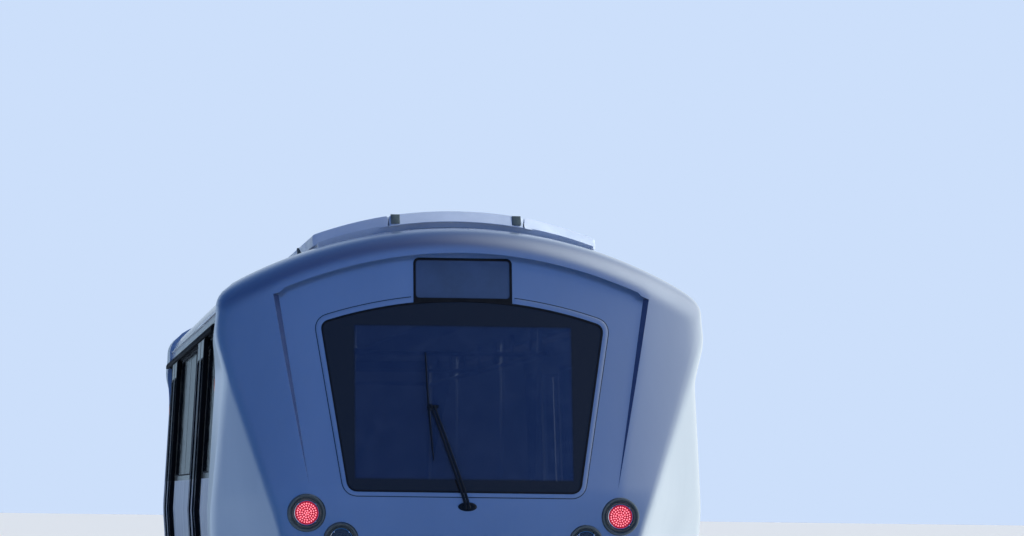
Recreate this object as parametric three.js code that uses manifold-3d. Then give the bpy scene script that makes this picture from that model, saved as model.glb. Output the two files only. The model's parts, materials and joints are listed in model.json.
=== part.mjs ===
// People mover car for an airport line: steel wheels on rails, linear motors, cabs at both ends.
// Millimetres, +Z up. X runs along the car towards its front end, +Y is the car's left side.
// Z = 0 is the lowest point of the wheel flanges, and the origin is midway between the ends.
import * as THREE from "three";
import { mergeVertices } from "three/addons/utils/BufferGeometryUtils.js";
import Module from "manifold-3d";

const wasm = await Module();
wasm.setup();

// General sizes
const seat = 0.3; // gap between pieces that bear on each other
const noseX = 8500; // foremost point of the end cap on the centre line
const capLength = 1300;
const capRearX = noseX - capLength;
const bodyEndX = capRearX - seat;

// Side walls: half widths at named heights
const skirtZ = 700;
const skirtY = 1520;
const waistZ = 1810;
const waistY = 1600;
const cantrailZ = 3080;
const cantrailY = 1540;
const wallThick = 80;

// Floor and underframe
const floorZ = 930;
const floorThick = 60;
const sillBottomZ = 770;
const bolsterBottomZ = 760;
const floorHalfWidth = 1451.9;
const floorNose = { x: 7930, halfWidth: 960 };
const centreSill = { endX: 8050, halfWidth: 300 };
const sideSill = { endX: 7190, nearY: 1330, farY: 1430 };
const bolster = { halfLength: 330, halfWidth: 1400 };
const crossMember = { halfLength: 45, halfWidth: 1400, places: [-7150, -2900, 0, 2900, 7150] };

// Roof and its fairing
const crownRadius = 3000;
const roofTopZ = 3640;
const roofThick = 60;
const roofCornerRadius = 190;
const ceilingThick = 20;
const cowlTopZ = 3794;
const cowlRadius = 2750;
const cowlHalfWidth = 930;
const cowlEndX = 7195;
const cowlBevel = 70; // the fairing's ends slope back over this height
const cowlBedding = 1.5; // clears the facets of the roof arc

// End cap: the raked face is one curve in side view, carried across on an arc in plan
const capBottomZ = 850;
const capTopZ = 3680;
const capCornerRadius = 170;
const capShoulderY = 1590;
const capSkin = 50;
const capSkinInPlan = 35;
const facePlanRadius = 3600;
const noseZ = 1935;
const faceRake = Math.tan(THREE.MathUtils.degToRad(20));
const browRise = 180; // height over which the face turns into the roof
// Set-back of the face below its foremost point: height, set-back
const chinProfile = [
  [capBottomZ, 235],
  [1150, 130],
  [1450, 62],
  [1700, 22],
  [1850, 4],
];
// Edge between the face and the slanted side facet: height, half width
const creaseLine = [
  [700, 1045],
  [1200, 1075],
  [1450, 1100],
  [1700, 1155],
  [2880, 1555],
  [3100, 1640],
  [3800, 1700],
];
const facetSlope = 1.7; // set-back of the facet for each millimetre of half width
// Cap outline below the shoulder: height, half width
const capSide = [
  [capBottomZ, 1531],
  [waistZ, 1605],
  [2680, 1564],
  [2850, 1574],
  [3000, 1590],
];

// Recessed panel round the windscreen
const recessBottomZ = 1985;
const recessBottomY = 984;
const recessTopZ = 3215;
const recessTopY = 1178;
const browZ = 3495;
const browRadius = 2750;
const recessDepth = 45;

// Windscreen
const screenBottomZ = 1958;
const screenBottomY = 737;
const screenCornerZ = 3052;
const screenCornerY = 908;
const screenArchZ = 3183;
const screenArchRadius = 2750;
const screenThick = 12;
const screenLedge = 24;

// Destination sign above the windscreen: a box whose dark face fills an opening of the recessed panel
const sign = { halfWidth: 308, bottomZ: 3196, topZ: 3452, corner: 24, depth: 900 };

// Lamps: half spacing, height, bezel radius
const outerLamp = { y: 1000, z: 1813, radius: 120 };
const innerLamp = { y: 780, z: 1646, radius: 110 };
const lampProud = 14;
const lampSegments = 24;
const lampHoleGap = 0.4;
const lampDish = { part: 0.66, depth: 8, segments: 16 };
const lampPlate = { back: 390, front: 350, marginY: 90, marginZ: 80 };

// Wiper: foot under the windscreen, two parallel arms, a link and a blade
const wiperFoot = { back: 1.6, front: 42, y: [-45, 75], z: [1835, 1893] };
const wiperArm = { width: 12, depth: 10, spacing: 36 };
// Stations of an arm: y, z, distance in front of the face
const wiperArmStations = [
  [0, 1865, 36],
  [-35, 1975, 34],
  [-212, 2500, 26],
];
const wiperBlade = { width: 16, depth: 22, proud: 14, low: [-199, 2159], high: [-245, 2850] };
const wiperLink = { depth: 20, proud: 8, y: [-240, -150], z: [2480, 2520] };

// Ends of the underframe
const bumperHalfWidth = 780;
const bumperBeam = { frontX: 8300, z: [762, 842] };
const bumperRib = { frontX: 8350, height: 20, places: [762, 792, 822] };
const couplerZ = 640;
const couplerHanger = { x: [7350, 7650], halfWidth: 170, bottomZ: 560 };
const couplerBar = { radius: 70, x: [7600, 8560] };
const couplerHead = { x: [8540, 8790], halfWidth: 165, z: [525, 745] };
const couplerCone = { radius: 45, x: [8780, 8850], y: -90, z: 665 };
// Cab console in side view: set-back from the nose, height
const consoleHalfWidth = 800;
const consoleOutline = [
  [1000, floorZ + seat],
  [560, floorZ + seat],
  [430, 1780],
  [620, 1900],
  [1000, 1860],
];

// Doors: two double doorways a side with outside-hung sliding leaves
const doorCentreX = 4200;
const doorClearHalf = 850;
const leafWidth = 897;
const leafMeet = 3;
const leafThick = 30;
const leafGap = 6;
const leafBottomZ = 912;
const leafTopZ = 2985;
const doorHeadZ = 2945;
const leafWindow = { side: 120, bottomZ: 1560, topZ: 2860, recess: 11 };
const trackEndX = 7180;
const trackDepth = 50;
const trackBottomZ = 2991;
const trackTopZ = 3036;
const trackSlotHeight = 26;
const trackBevel = 12;
const hangerWidth = 14;
const hangerHalfLength = 60;
const hangerHeight = 22;
const hangerTravelGap = 0.6;

// Side windows: name, centre, half length
const windowTable = [
  ["front", 6125, 800],
  ["middle", 0, 3120],
  ["rear", -6125, 800],
];
const windowBottomZ = 2065;
const windowTopZ = 2975;
const windowCornerRadius = 70;
const glassThick = 10;
const glassLedge = 22;

// Saloon
const benchHalfLength = 2900;
// Bench in cross-section: y, z
const benchOutline = [
  [930, floorZ + seat],
  [1330, floorZ + seat],
  [1400, 1380],
  [1425, 1850],
  [1370, 1850],
  [1330, 1440],
  [930, 1400],
];
const grabRail = { y: 620, z: 2880, radius: 17, endX: 6900 };
const grabPole = { radius: 18, places: [-6300, -2600, 2600, 6300] };
const grabCrossBar = { radius: 15, places: { rear: -6300, middle: 0, front: 6300 } };
const barSegments = 8;

// Bogies
const bogieCentreX = 5600;
const halfWheelbase = 850;
const flangeRadius = 320;
const treadRadius = 292;
const axleZ = flangeRadius;
const flangeBackY = 685;
const flangeFrontY = 715;
const rimOuterY = 825;
const journalRadius = 60;
const journalEndY = 1075;
const journalClearance = 0.85;
const axleRadius = 78;
const discY = 520;
const discRadius = 205;
const discHalfThick = 22;
const wheelSegments = 24;
const halfSegment = Math.PI / wheelSegments; // turns a wheel so that it stands on a flat
const circumscribe = 1 / Math.cos(halfSegment); // puts the flats, not the corners, at the true radius
const beamY = 1000;
const beamHalfWidth = 75;
const beamBottomZ = 400;
const beamTopZ = 520;
// Side beam in side view: x from the pivot, z
const beamOutline = [
  [-1010, beamBottomZ],
  [-700, beamBottomZ],
  [-480, 330],
  [480, 330],
  [700, beamBottomZ],
  [1010, beamBottomZ],
  [1010, 470],
  [760, beamTopZ],
  [-760, beamTopZ],
  [-1010, 470],
];
const axleBox = { halfLength: 115, y: [beamY - 80, beamY + 90], z: [205, 455] };
const transom = { halfLength: 80, z: [430, 515], places: [-300, 300] };
const airSpringRadius = 200;
// Collector shoe beside the beam, from the beam outwards: half length, y, z
const collectorTable = [
  [260, [beamY + 60, beamY + 150], [350, 400]],
  [50, [beamY + 140, beamY + 330], [355, 385]],
  [140, [beamY + 240, beamY + 330], [340, 362]],
];
const motorCore = { halfLength: 980, halfWidth: 240, z: [75, 200] };
const motorHanger = { halfLength: 40, halfWidth: 30, y: 150, bottomZ: 190 };

// Equipment boxes hung under the floor between the bogies: name, x, y, z
const equipmentTable = [
  ["power_equipment_box", [1000, 2850], [-1250, 1250], [330, bolsterBottomZ - seat]],
  ["battery_box", [-2850, -1000], [-1250, 1250], [380, bolsterBottomZ - seat]],
];

const finish = (colour, roughness, metalness) =>
  new THREE.MeshStandardMaterial({ color: colour, roughness, metalness });
const materials = {
  body: finish("#b9c0c8", 0.35, 0.75),
  roof: finish("#aeb4ba", 0.5, 0.4),
  glass: finish("#14181f", 0.08, 0.0),
  black: finish("#1b1c1f", 0.6, 0.1),
  frame: finish("#3a3d42", 0.6, 0.5),
  running: finish("#6f6a66", 0.4, 0.9),
  lamp: finish("#3a3c40", 0.4, 0.3),
  seat: finish("#2b4a7d", 0.7, 0.0),
  rail: finish("#c9ccd0", 0.25, 0.9),
  interior: finish("#c4c5c2", 0.7, 0.0),
};

// Solids and booleans

function toSolid(geometry) {
  const bare = geometry.clone();
  for (const name of ["normal", "uv"]) bare.deleteAttribute(name);
  const merged = mergeVertices(bare, 1e-3);
  const mesh = new wasm.Mesh({
    numProp: 3,
    vertProperties: new Float32Array(merged.attributes.position.array),
    triVerts: new Uint32Array(merged.index.array),
  });
  return new wasm.Manifold(mesh);
}

function toGeometry(solid) {
  const mesh = solid.getMesh();
  const geometry = new THREE.BufferGeometry();
  geometry.setAttribute("position", new THREE.BufferAttribute(new Float32Array(mesh.vertProperties), 3));
  geometry.setIndex(new THREE.BufferAttribute(new Uint32Array(mesh.triVerts), 1));
  return geometry;
}

const join = (solids) => solids.reduce((whole, next) => whole.add(next));

function extrude(points, depth) {
  const shape = new THREE.Shape(points.map(([u, v]) => new THREE.Vector2(u, v)));
  return new THREE.ExtrudeGeometry(shape, { depth, bevelEnabled: false });
}

// Outline of (y, z) points carried along X
function prismX(points, fromX, toX) {
  const geometry = extrude(points, toX - fromX);
  const toWorld = new THREE.Matrix4().makeBasis(
    new THREE.Vector3(0, 1, 0),
    new THREE.Vector3(0, 0, 1),
    new THREE.Vector3(1, 0, 0),
  );
  return toSolid(geometry.applyMatrix4(toWorld).translate(fromX, 0, 0));
}

// Outline of (x, z) points carried along Y
function prismY(points, fromY, toY) {
  const geometry = extrude(points, toY - fromY).rotateX(Math.PI / 2);
  return toSolid(geometry.translate(0, toY, 0));
}

// Outline of (x, y) points carried along Z
function prismZ(points, fromZ, toZ) {
  return toSolid(extrude(points, toZ - fromZ).translate(0, 0, fromZ));
}

function block([x0, x1], [y0, y1], [z0, z1]) {
  const geometry = new THREE.BoxGeometry(x1 - x0, y1 - y0, z1 - z0);
  return toSolid(geometry.translate((x0 + x1) / 2, (y0 + y1) / 2, (z0 + z1) / 2));
}

// Round bar along "x", "y" or "z" through a point, between two stations on that axis
function roundBar(axis, radius, [from, to], [x, y, z], segments = 24, turn = 0) {
  const geometry = new THREE.CylinderGeometry(radius, radius, to - from, segments, 1, false, turn);
  const middle = (from + to) / 2;
  if (axis === "x") return toSolid(geometry.rotateZ(Math.PI / 2).translate(middle, y, z));
  if (axis === "z") return toSolid(geometry.rotateX(Math.PI / 2).translate(x, y, middle));
  return toSolid(geometry.translate(x, middle, z));
}

// Flat bar between two points, its width across the car
function flatBar(from, to, width, depth) {
  const start = new THREE.Vector3(...from);
  const along = new THREE.Vector3(...to).sub(start);
  const geometry = new THREE.BoxGeometry(along.length(), width, depth);
  const direction = along.clone().normalize();
  const across = new THREE.Vector3(0, 1, 0).addScaledVector(direction, -direction.y).normalize();
  const out = new THREE.Vector3().crossVectors(direction, across);
  geometry.applyMatrix4(new THREE.Matrix4().makeBasis(direction, across, out));
  const middle = start.addScaledVector(along, 0.5);
  return toSolid(geometry.translate(middle.x, middle.y, middle.z));
}

// Skin over rings of equal point count, each end closed by a fan from the middle of its ring
function loft(rings) {
  const count = rings[0].length;
  const middle = (ring) => [0, 1, 2].map((axis) => ring.reduce((sum, point) => sum + point[axis], 0) / count);
  const positions = [...rings.flat(), middle(rings[0]), middle(rings.at(-1))];
  const last = (rings.length - 1) * count;
  const [firstMiddle, lastMiddle] = [rings.length * count, rings.length * count + 1];
  const faces = [];
  for (let point = 0; point < count; point += 1) {
    const next = (point + 1) % count;
    for (let base = 0; base < last; base += count) {
      faces.push([base + point, base + next, base + next + count]);
      faces.push([base + point, base + next + count, base + point + count]);
    }
    faces.push([firstMiddle, next, point], [lastMiddle, last + point, last + next]);
  }
  const corner = (index) => new THREE.Vector3(...positions[index]);
  const volume = faces.reduce((sum, [a, b, c]) => sum + corner(a).dot(corner(b).cross(corner(c))), 0);
  const outward = volume > 0 ? faces : faces.map((face) => face.toReversed());
  const geometry = new THREE.BufferGeometry();
  geometry.setAttribute("position", new THREE.BufferAttribute(new Float32Array(positions.flat()), 3));
  geometry.setIndex(outward.flat());
  return toSolid(geometry);
}

// Corners given as [u, v, radius] become an outline with round corners
function roundCorners(corners, steps = 4) {
  return corners.flatMap(([u, v, radius], index) => {
    if (!radius) return [[u, v]];
    const here = new THREE.Vector2(u, v);
    const before = new THREE.Vector2(...corners.at(index - 1)).sub(here).normalize();
    const after = new THREE.Vector2(...corners[(index + 1) % corners.length]).sub(here).normalize();
    const half = Math.acos(THREE.MathUtils.clamp(before.dot(after), -1, 1)) / 2;
    const reach = radius / Math.tan(half);
    const start = here.clone().addScaledVector(before, reach);
    const end = here.clone().addScaledVector(after, reach);
    const curve = new THREE.QuadraticBezierCurve(start, here, end);
    return curve.getPoints(steps).map((point) => [point.x, point.y]);
  });
}

const mirrored = (points) => [...points, ...points.toReversed().map(([y, z]) => [-y, z])];

const between = (table, value) => {
  const next = Math.max(1, table.findIndex(([key]) => key >= value));
  const [[key0, value0], [key1, value1]] = [table[next - 1], table[next]];
  return value0 + ((value1 - value0) * (value - key0)) / (key1 - key0);
};

function addMesh(group, name, solid, material) {
  const mesh = new THREE.Mesh(toGeometry(solid), materials[material]);
  mesh.name = name;
  group.add(mesh);
  return mesh;
}

// Car body

const wallTable = [
  [skirtZ, skirtY],
  [waistZ, waistY],
  [cantrailZ, cantrailY],
];
const wallY = (z) => between(wallTable, z);

// Slab that follows the side wall between two heights, from one offset of its outer face to another
function wallSlab(side, [z0, z1], [inner, outer], [x0, x1]) {
  const heights = z0 < waistZ && z1 > waistZ ? [z0, waistZ, z1] : [z0, z1];
  const outside = heights.map((z) => [side * (wallY(z) + outer), z]);
  const inside = heights.map((z) => [side * (wallY(z) + inner), z]).toReversed();
  return prismX([...outside, ...inside], x0, x1);
}

function windowOutline(centre, half, shrink) {
  return roundCorners([
    [centre - half + shrink, windowBottomZ + shrink, windowCornerRadius],
    [centre + half - shrink, windowBottomZ + shrink, windowCornerRadius],
    [centre + half - shrink, windowTopZ - shrink, windowCornerRadius],
    [centre - half + shrink, windowTopZ - shrink, windowCornerRadius],
  ]);
}

const spanY = (side, near, far) => (side > 0 ? [near, far] : [-far, -near]);

// Box beam along the whole side, with a slot below in which the leaves' hangers run
function doorTrack(side) {
  const slotNear = leafGap + (leafThick - hangerWidth) / 2 - hangerTravelGap;
  const slotFar = slotNear + hangerWidth + 2 * hangerTravelGap;
  const slotTopZ = trackBottomZ + trackSlotHeight;
  const face = wallY(trackTopZ) - 4;
  const points = [
    [face, trackTopZ],
    [face, trackBottomZ],
    [wallY(trackBottomZ) + slotNear, trackBottomZ],
    [wallY(slotTopZ) + slotNear, slotTopZ],
    [wallY(slotTopZ) + slotFar, slotTopZ],
    [wallY(trackBottomZ) + slotFar, trackBottomZ],
    [wallY(trackBottomZ) + trackDepth, trackBottomZ],
    [wallY(trackTopZ) + trackDepth - trackBevel, trackTopZ],
  ];
  const profile = points.map(([y, z]) => [side * y, z]);
  return prismX(profile, -trackEndX, trackEndX);
}

function sideWall(side) {
  let wall = wallSlab(side, [skirtZ, cantrailZ], [-wallThick, 0], [-bodyEndX, bodyEndX]);
  const through = spanY(side, 1300, 1700);
  for (const [, centre, half] of windowTable) {
    wall = wall.subtract(prismY(windowOutline(centre, half, glassLedge), ...through));
    const rebate = prismY(windowOutline(centre, half, 0), ...through);
    const front = wallSlab(side, [windowBottomZ - 50, windowTopZ + 50], [-glassThick - seat, 60], [-8000, 8000]);
    wall = wall.subtract(rebate.intersect(front));
  }
  for (const centre of [doorCentreX, -doorCentreX]) {
    const doorway = [centre - doorClearHalf, centre + doorClearHalf];
    wall = wall.subtract(block(doorway, through, [floorZ - 20, doorHeadZ]));
  }
  return wall.add(doorTrack(side));
}

function sideWindow(side, centre, half) {
  const pane = wallSlab(side, [windowBottomZ - 50, windowTopZ + 50], [-glassThick, 0], [-8000, 8000]);
  return pane.intersect(prismY(windowOutline(centre, half, seat), ...spanY(side, 1300, 1700)));
}

// Leaf with its glazing as a thinner web, and two hangers that run in the track
function doorLeaf(side, centre, direction) {
  const meeting = centre + direction * leafMeet;
  const outer = centre + direction * (leafMeet + leafWidth);
  const span = [Math.min(meeting, outer), Math.max(meeting, outer)];
  const face = [leafGap, leafGap + leafThick];
  let leaf = wallSlab(side, [leafBottomZ, leafTopZ], face, span);
  const glass = [
    [span[0] + leafWindow.side, leafWindow.bottomZ, 60],
    [span[1] - leafWindow.side, leafWindow.bottomZ, 60],
    [span[1] - leafWindow.side, leafWindow.topZ, 60],
    [span[0] + leafWindow.side, leafWindow.topZ, 60],
  ];
  const opening = prismY(roundCorners(glass), ...spanY(side, 1300, 1800));
  const web = [face[0] + leafWindow.recess, face[1] - leafWindow.recess];
  const pane = wallSlab(side, [leafWindow.bottomZ - 30, leafWindow.topZ + 30], web, span);
  leaf = leaf.subtract(opening).add(pane.intersect(opening));
  const hangerNear = leafGap + (leafThick - hangerWidth) / 2;
  for (const part of [0.2, 0.8]) {
    const x = THREE.MathUtils.lerp(span[0], span[1], part);
    const hanger = wallSlab(
      side,
      [leafTopZ - 5, trackBottomZ + hangerHeight],
      [hangerNear, hangerNear + hangerWidth],
      [x - hangerHalfLength, x + hangerHalfLength],
    );
    leaf = leaf.add(hanger);
  }
  return leaf;
}

// Upper half of a roof outline: vertical side, round shoulder, crown arc
function crownOutline(halfWidth, cornerRadius, topZ, radius, steps = 9) {
  const centreZ = topZ - radius;
  const cornerY = halfWidth - cornerRadius;
  const cornerZ = centreZ + Math.sqrt((radius - cornerRadius) ** 2 - cornerY ** 2);
  const turn = Math.atan2(cornerZ - centreZ, cornerY);
  const corner = [0, 0.25, 0.5, 0.75].map((part) => [
    cornerY + cornerRadius * Math.cos(turn * part),
    cornerZ + cornerRadius * Math.sin(turn * part),
  ]);
  const crown = Array.from({ length: steps }, (_, step) => {
    const angle = turn + ((Math.PI / 2 - turn) * step) / (steps - 1);
    return [radius * Math.cos(angle), centreZ + radius * Math.sin(angle)];
  });
  return { corner, crown };
}

function roofShell() {
  const outer = crownOutline(cantrailY - 2, roofCornerRadius, roofTopZ, crownRadius);
  const inner = crownOutline(
    cantrailY - 2 - roofThick,
    roofCornerRadius - roofThick,
    roofTopZ - roofThick,
    crownRadius - roofThick,
  );
  const half = ({ corner, crown }) => [...corner, ...crown.slice(0, -1)];
  const edgeZ = cantrailZ + seat;
  const over = [[cantrailY, edgeZ], ...half(outer), [0, roofTopZ]];
  const under = [[cantrailY - roofThick, edgeZ], ...half(inner), [0, roofTopZ - roofThick]];
  const outside = [...over.slice(0, -1), ...over.toReversed().map(([y, z]) => [-y, z])];
  const inside = [...under.slice(0, -1), ...under.toReversed().map(([y, z]) => [-y, z])];
  return prismX([...outside, ...inside.toReversed()], -bodyEndX, bodyEndX);
}

function roofCowl() {
  const arc = (topZ, radius, halfWidth) =>
    Array.from({ length: 13 }, (_, step) => {
      const y = halfWidth * (1 - step / 6);
      return [y, topZ - radius + Math.sqrt(radius ** 2 - y ** 2)];
    });
  const top = arc(cowlTopZ, cowlRadius, cowlHalfWidth);
  const bottom = arc(roofTopZ + cowlBedding, crownRadius, cowlHalfWidth + 25);
  const whole = prismX([...top, ...bottom.toReversed()], -cowlEndX, cowlEndX);
  const slope = 2 * cowlBevel; // its sides lie lower than its crown, and slope on upwards
  const half = [
    [cowlEndX, cowlTopZ - 2 * slope],
    [cowlEndX, cowlTopZ - cowlBevel],
    [cowlEndX - slope, cowlTopZ - cowlBevel + slope],
  ];
  const outline = [...half, ...half.toReversed().map(([x, z]) => [-x, z])];
  return whole.intersect(prismY(outline, -cowlHalfWidth - 100, cowlHalfWidth + 100));
}

function underframe() {
  const frontHalf = [
    [bodyEndX, -floorHalfWidth],
    [floorNose.x, -floorNose.halfWidth],
    [floorNose.x, floorNose.halfWidth],
    [bodyEndX, floorHalfWidth],
  ];
  const rearHalf = frontHalf.map(([x, y]) => [-x, -y]);
  const slab = prismZ([...frontHalf, ...rearHalf], floorZ - floorThick, floorZ);
  const under = floorZ - floorThick + 5;
  const around = (middle, half) => [middle - half, middle + half];
  const pieces = [slab];
  pieces.push(block(around(0, centreSill.endX), around(0, centreSill.halfWidth), [bolsterBottomZ, under]));
  for (const side of [-1, 1]) {
    const sillY = spanY(side, sideSill.nearY, sideSill.farY);
    pieces.push(block(around(0, sideSill.endX), sillY, [sillBottomZ, under]));
    const bolsterX = around(side * bogieCentreX, bolster.halfLength);
    pieces.push(block(bolsterX, around(0, bolster.halfWidth), [bolsterBottomZ, under]));
  }
  for (const x of crossMember.places) {
    const memberX = around(x, crossMember.halfLength);
    pieces.push(block(memberX, around(0, crossMember.halfWidth), [sillBottomZ, under]));
  }
  return join(pieces);
}

// End cap

const planSetBack = (y) => y ** 2 / (2 * facePlanRadius);
const faceX = (z) => (z > noseZ ? -(z - noseZ) * faceRake : -between([...chinProfile, [noseZ, 0]], z));
const recessX = (z) => recessDepth * Math.max(0, (z - recessBottomZ) / (browZ - recessBottomZ));
const capCrownZ = (y) => capTopZ - crownRadius + Math.sqrt(crownRadius ** 2 - y ** 2);

// Block whose front is the cap's face, inset all over, and set back as the recess is when asked
function noseBlock(inset, rear, bottomZ, recessed = false) {
  const stations = [-1700, -1500, -1200, -900, -600, -300, 0, 300, 600, 900, 1200, 1500, 1700];
  const heights = [1150, 1450, 1700, 1850, noseZ, 2400, 2900];
  const rings = stations.map((y) => {
    const crownZ = capCrownZ(y) - inset;
    const front = (z) => faceX(z) - planSetBack(y) - inset - (recessed ? recessX(z) : 0);
    const turnZ = crownZ - browRise;
    const startX = front(turnZ);
    const brow = new THREE.QuadraticBezierCurve(
      new THREE.Vector2(startX, turnZ),
      new THREE.Vector2(startX - browRise * faceRake, crownZ),
      new THREE.Vector2(-rear, crownZ),
    );
    const points = [
      [-rear, bottomZ],
      [front(capBottomZ) + (bottomZ - capBottomZ) * 0.3, bottomZ],
      ...heights.map((z) => [front(z), z]),
      ...brow.getPoints(6).map((point) => [point.x, point.y]),
    ];
    return points.map(([x, z]) => [noseX + x, y, z]);
  });
  return loft(rings);
}

// Outline of the cap from the front, carried along X, with its round shoulders but no crown
function capOutlineBlock(inset, rear, bottomZ) {
  const { corner, crown } = crownOutline(
    capShoulderY - inset,
    capCornerRadius - inset / 2,
    capTopZ - inset,
    crownRadius - inset,
  );
  const side = capSide.map(([z, y], row) => [y - inset, row === 0 ? bottomZ : z]);
  const half = [...side, ...corner, crown[0], [crown[0][0] - 12, capTopZ + 200]];
  return prismX(mirrored(half), noseX - rear, noseX + 300);
}

// Plan shape of the cap at each height, with the slanted facets at its sides
function facetBlock(inset, insetInPlan) {
  const reach = 1760;
  const ahead = 300;
  const rings = creaseLine.map(([z, halfWidth]) => {
    const y = halfWidth - insetInPlan;
    const x = faceX(z) - planSetBack(halfWidth) - inset;
    const wideX = x - (reach - y) * facetSlope;
    const frontY = y - (ahead - x) / facetSlope;
    const half = [
      [-capLength - 300, reach],
      [Math.max(wideX, -capLength - 290), reach],
      [ahead, frontY],
    ];
    const ring = [...half, ...half.toReversed().map(([px, py]) => [px, -py])];
    return ring.map(([px, py]) => [noseX + px, py, z]);
  });
  return loft(rings);
}

function screenOutline(grow) {
  const arch = [0.85, 0.6, 0.3, 0, -0.3, -0.6, -0.85].map((part) => {
    const y = screenCornerY * part;
    return [y, screenArchZ + grow - y ** 2 / (2 * screenArchRadius)];
  });
  const cornerZ = screenArchZ + grow - screenCornerY ** 2 / (2 * screenArchRadius);
  return roundCorners([
    [screenBottomY + grow, screenBottomZ - grow, 70],
    [screenCornerY + grow, cornerZ, 60],
    ...arch,
    [-screenCornerY - grow, cornerZ, 60],
    [-screenBottomY - grow, screenBottomZ - grow, 70],
  ]);
}

function signOutline(grow) {
  return roundCorners([
    [sign.halfWidth + grow, sign.bottomZ - grow, sign.corner],
    [sign.halfWidth + grow, sign.topZ + grow, sign.corner],
    [-sign.halfWidth - grow, sign.topZ + grow, sign.corner],
    [-sign.halfWidth - grow, sign.bottomZ - grow, sign.corner],
  ]);
}

function recessOutline() {
  const arch = [0.96, 0.75, 0.5, 0.25, 0, -0.25, -0.5, -0.75, -0.96].map((part) => {
    const y = recessTopY * part;
    return [y, browZ - y ** 2 / (2 * browRadius)];
  });
  return [
    [recessBottomY, recessBottomZ],
    [recessTopY, recessTopZ],
    ...arch,
    [-recessTopY, recessTopZ],
    [-recessBottomY, recessBottomZ],
  ];
}

const aheadOfFace = [noseX - 900, noseX + 200];
const lampSpots = [-1, 1].flatMap((side) =>
  [outerLamp, innerLamp].map((lamp) => ({ side, ...lamp })),
);

function endCap() {
  const rear = capLength;
  let shell = noseBlock(0, rear, capBottomZ)
    .intersect(capOutlineBlock(0, rear, capBottomZ))
    .intersect(facetBlock(0, 0));
  const openRear = rear + 40;
  const openBottomZ = capBottomZ - 60;
  const hollow = noseBlock(capSkin, openRear, openBottomZ)
    .intersect(capOutlineBlock(capSkin, openRear, openBottomZ))
    .intersect(facetBlock(capSkin, capSkinInPlan));
  const recessFloor = noseBlock(0, openRear, openBottomZ, true);
  shell = shell.subtract(prismX(recessOutline(), ...aheadOfFace).subtract(recessFloor));
  shell = shell.subtract(hollow);
  const rebateFloor = noseBlock(screenThick + seat, openRear, openBottomZ, true);
  shell = shell.subtract(prismX(screenOutline(seat), ...aheadOfFace).subtract(rebateFloor));
  shell = shell.subtract(prismX(screenOutline(-screenLedge), ...aheadOfFace));
  shell = shell.subtract(prismX(signOutline(seat), ...aheadOfFace));
  for (const { side, y, z, radius } of lampSpots) {
    const hole = roundBar("x", radius + lampHoleGap, aheadOfFace, [0, side * y, z], lampSegments);
    shell = shell.subtract(hole);
  }
  return shell;
}

function windscreen() {
  const front = noseBlock(0, capLength, capBottomZ, true);
  const back = noseBlock(screenThick, capLength + 40, capBottomZ - 60, true);
  return front.subtract(back).intersect(prismX(screenOutline(0), ...aheadOfFace));
}

// Lamp cans stand in round holes of the skin and share a plate behind it
function lampPair(side) {
  const plateX = [noseX - lampPlate.back, noseX - lampPlate.front];
  const plateY = spanY(side, innerLamp.y - lampPlate.marginY, outerLamp.y + lampPlate.marginY);
  const plate = block(plateX, plateY, [innerLamp.z - lampPlate.marginZ, outerLamp.z + lampPlate.marginZ]);
  const cans = [outerLamp, innerLamp].map(({ y, z, radius }) => {
    const face = noseX + faceX(z) - planSetBack(y - radius / 2) + lampProud;
    const middle = [0, side * y, z];
    const can = roundBar("x", radius, [plateX[1] - 5, face], middle, lampSegments);
    const dishX = [face - lampDish.depth, face + 10];
    return can.subtract(roundBar("x", radius * lampDish.part, dishX, middle, lampDish.segments));
  });
  return join([plate, ...cans]);
}

function wiper() {
  const onFace = (y, z, proud) => [
    noseX + faceX(z) - planSetBack(y) - recessX(z) + proud,
    y,
    z,
  ];
  const foot = block([noseX - wiperFoot.back, noseX + wiperFoot.front], wiperFoot.y, wiperFoot.z);
  const arms = [0, wiperArm.spacing].flatMap((shift) => {
    const [low, bend, high] = wiperArmStations.map(([y, z, proud]) => onFace(shift + y, z, proud));
    return [[low, bend], [bend, high]].map(([from, to]) => flatBar(from, to, wiperArm.width, wiperArm.depth));
  });
  const { width, depth, proud, low, high } = wiperBlade;
  const blade = flatBar(onFace(...low, proud), onFace(...high, proud), width, depth);
  const linkX = onFace(wiperLink.y[1], wiperLink.z[0], wiperLink.proud)[0];
  const link = block([linkX, linkX + wiperLink.depth], wiperLink.y, wiperLink.z);
  return join([foot, ...arms, link, blade]);
}

function destinationSign() {
  const box = prismX(signOutline(0), noseX - sign.depth, noseX);
  return box.intersect(noseBlock(0, capLength, capBottomZ, true));
}

// Anti-climber: a ribbed beam across the end of the underframe
function bumper() {
  const across = [-bumperHalfWidth, bumperHalfWidth];
  const pieces = [block([centreSill.endX + seat, bumperBeam.frontX], across, bumperBeam.z)];
  for (const z of bumperRib.places) {
    pieces.push(block([bumperBeam.frontX - 1, bumperRib.frontX], across, [z, z + bumperRib.height]));
  }
  return join(pieces);
}

// Coupler: hanger under the centre sill, drawbar and a head with a flat face
function coupler() {
  const across = ({ halfWidth }) => [-halfWidth, halfWidth];
  const hangerZ = [couplerHanger.bottomZ, bolsterBottomZ - seat];
  const cone = roundBar("x", couplerCone.radius, couplerCone.x, [0, couplerCone.y, couplerCone.z], 16);
  return join([
    block(couplerHanger.x, across(couplerHanger), hangerZ),
    roundBar("x", couplerBar.radius, couplerBar.x, [0, 0, couplerZ], 16),
    block(couplerHead.x, across(couplerHead), couplerHead.z),
    cone,
  ]);
}

function cabConsole() {
  const outline = consoleOutline.map(([back, z]) => [noseX - back, z]);
  return prismY(outline, -consoleHalfWidth, consoleHalfWidth);
}

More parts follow.
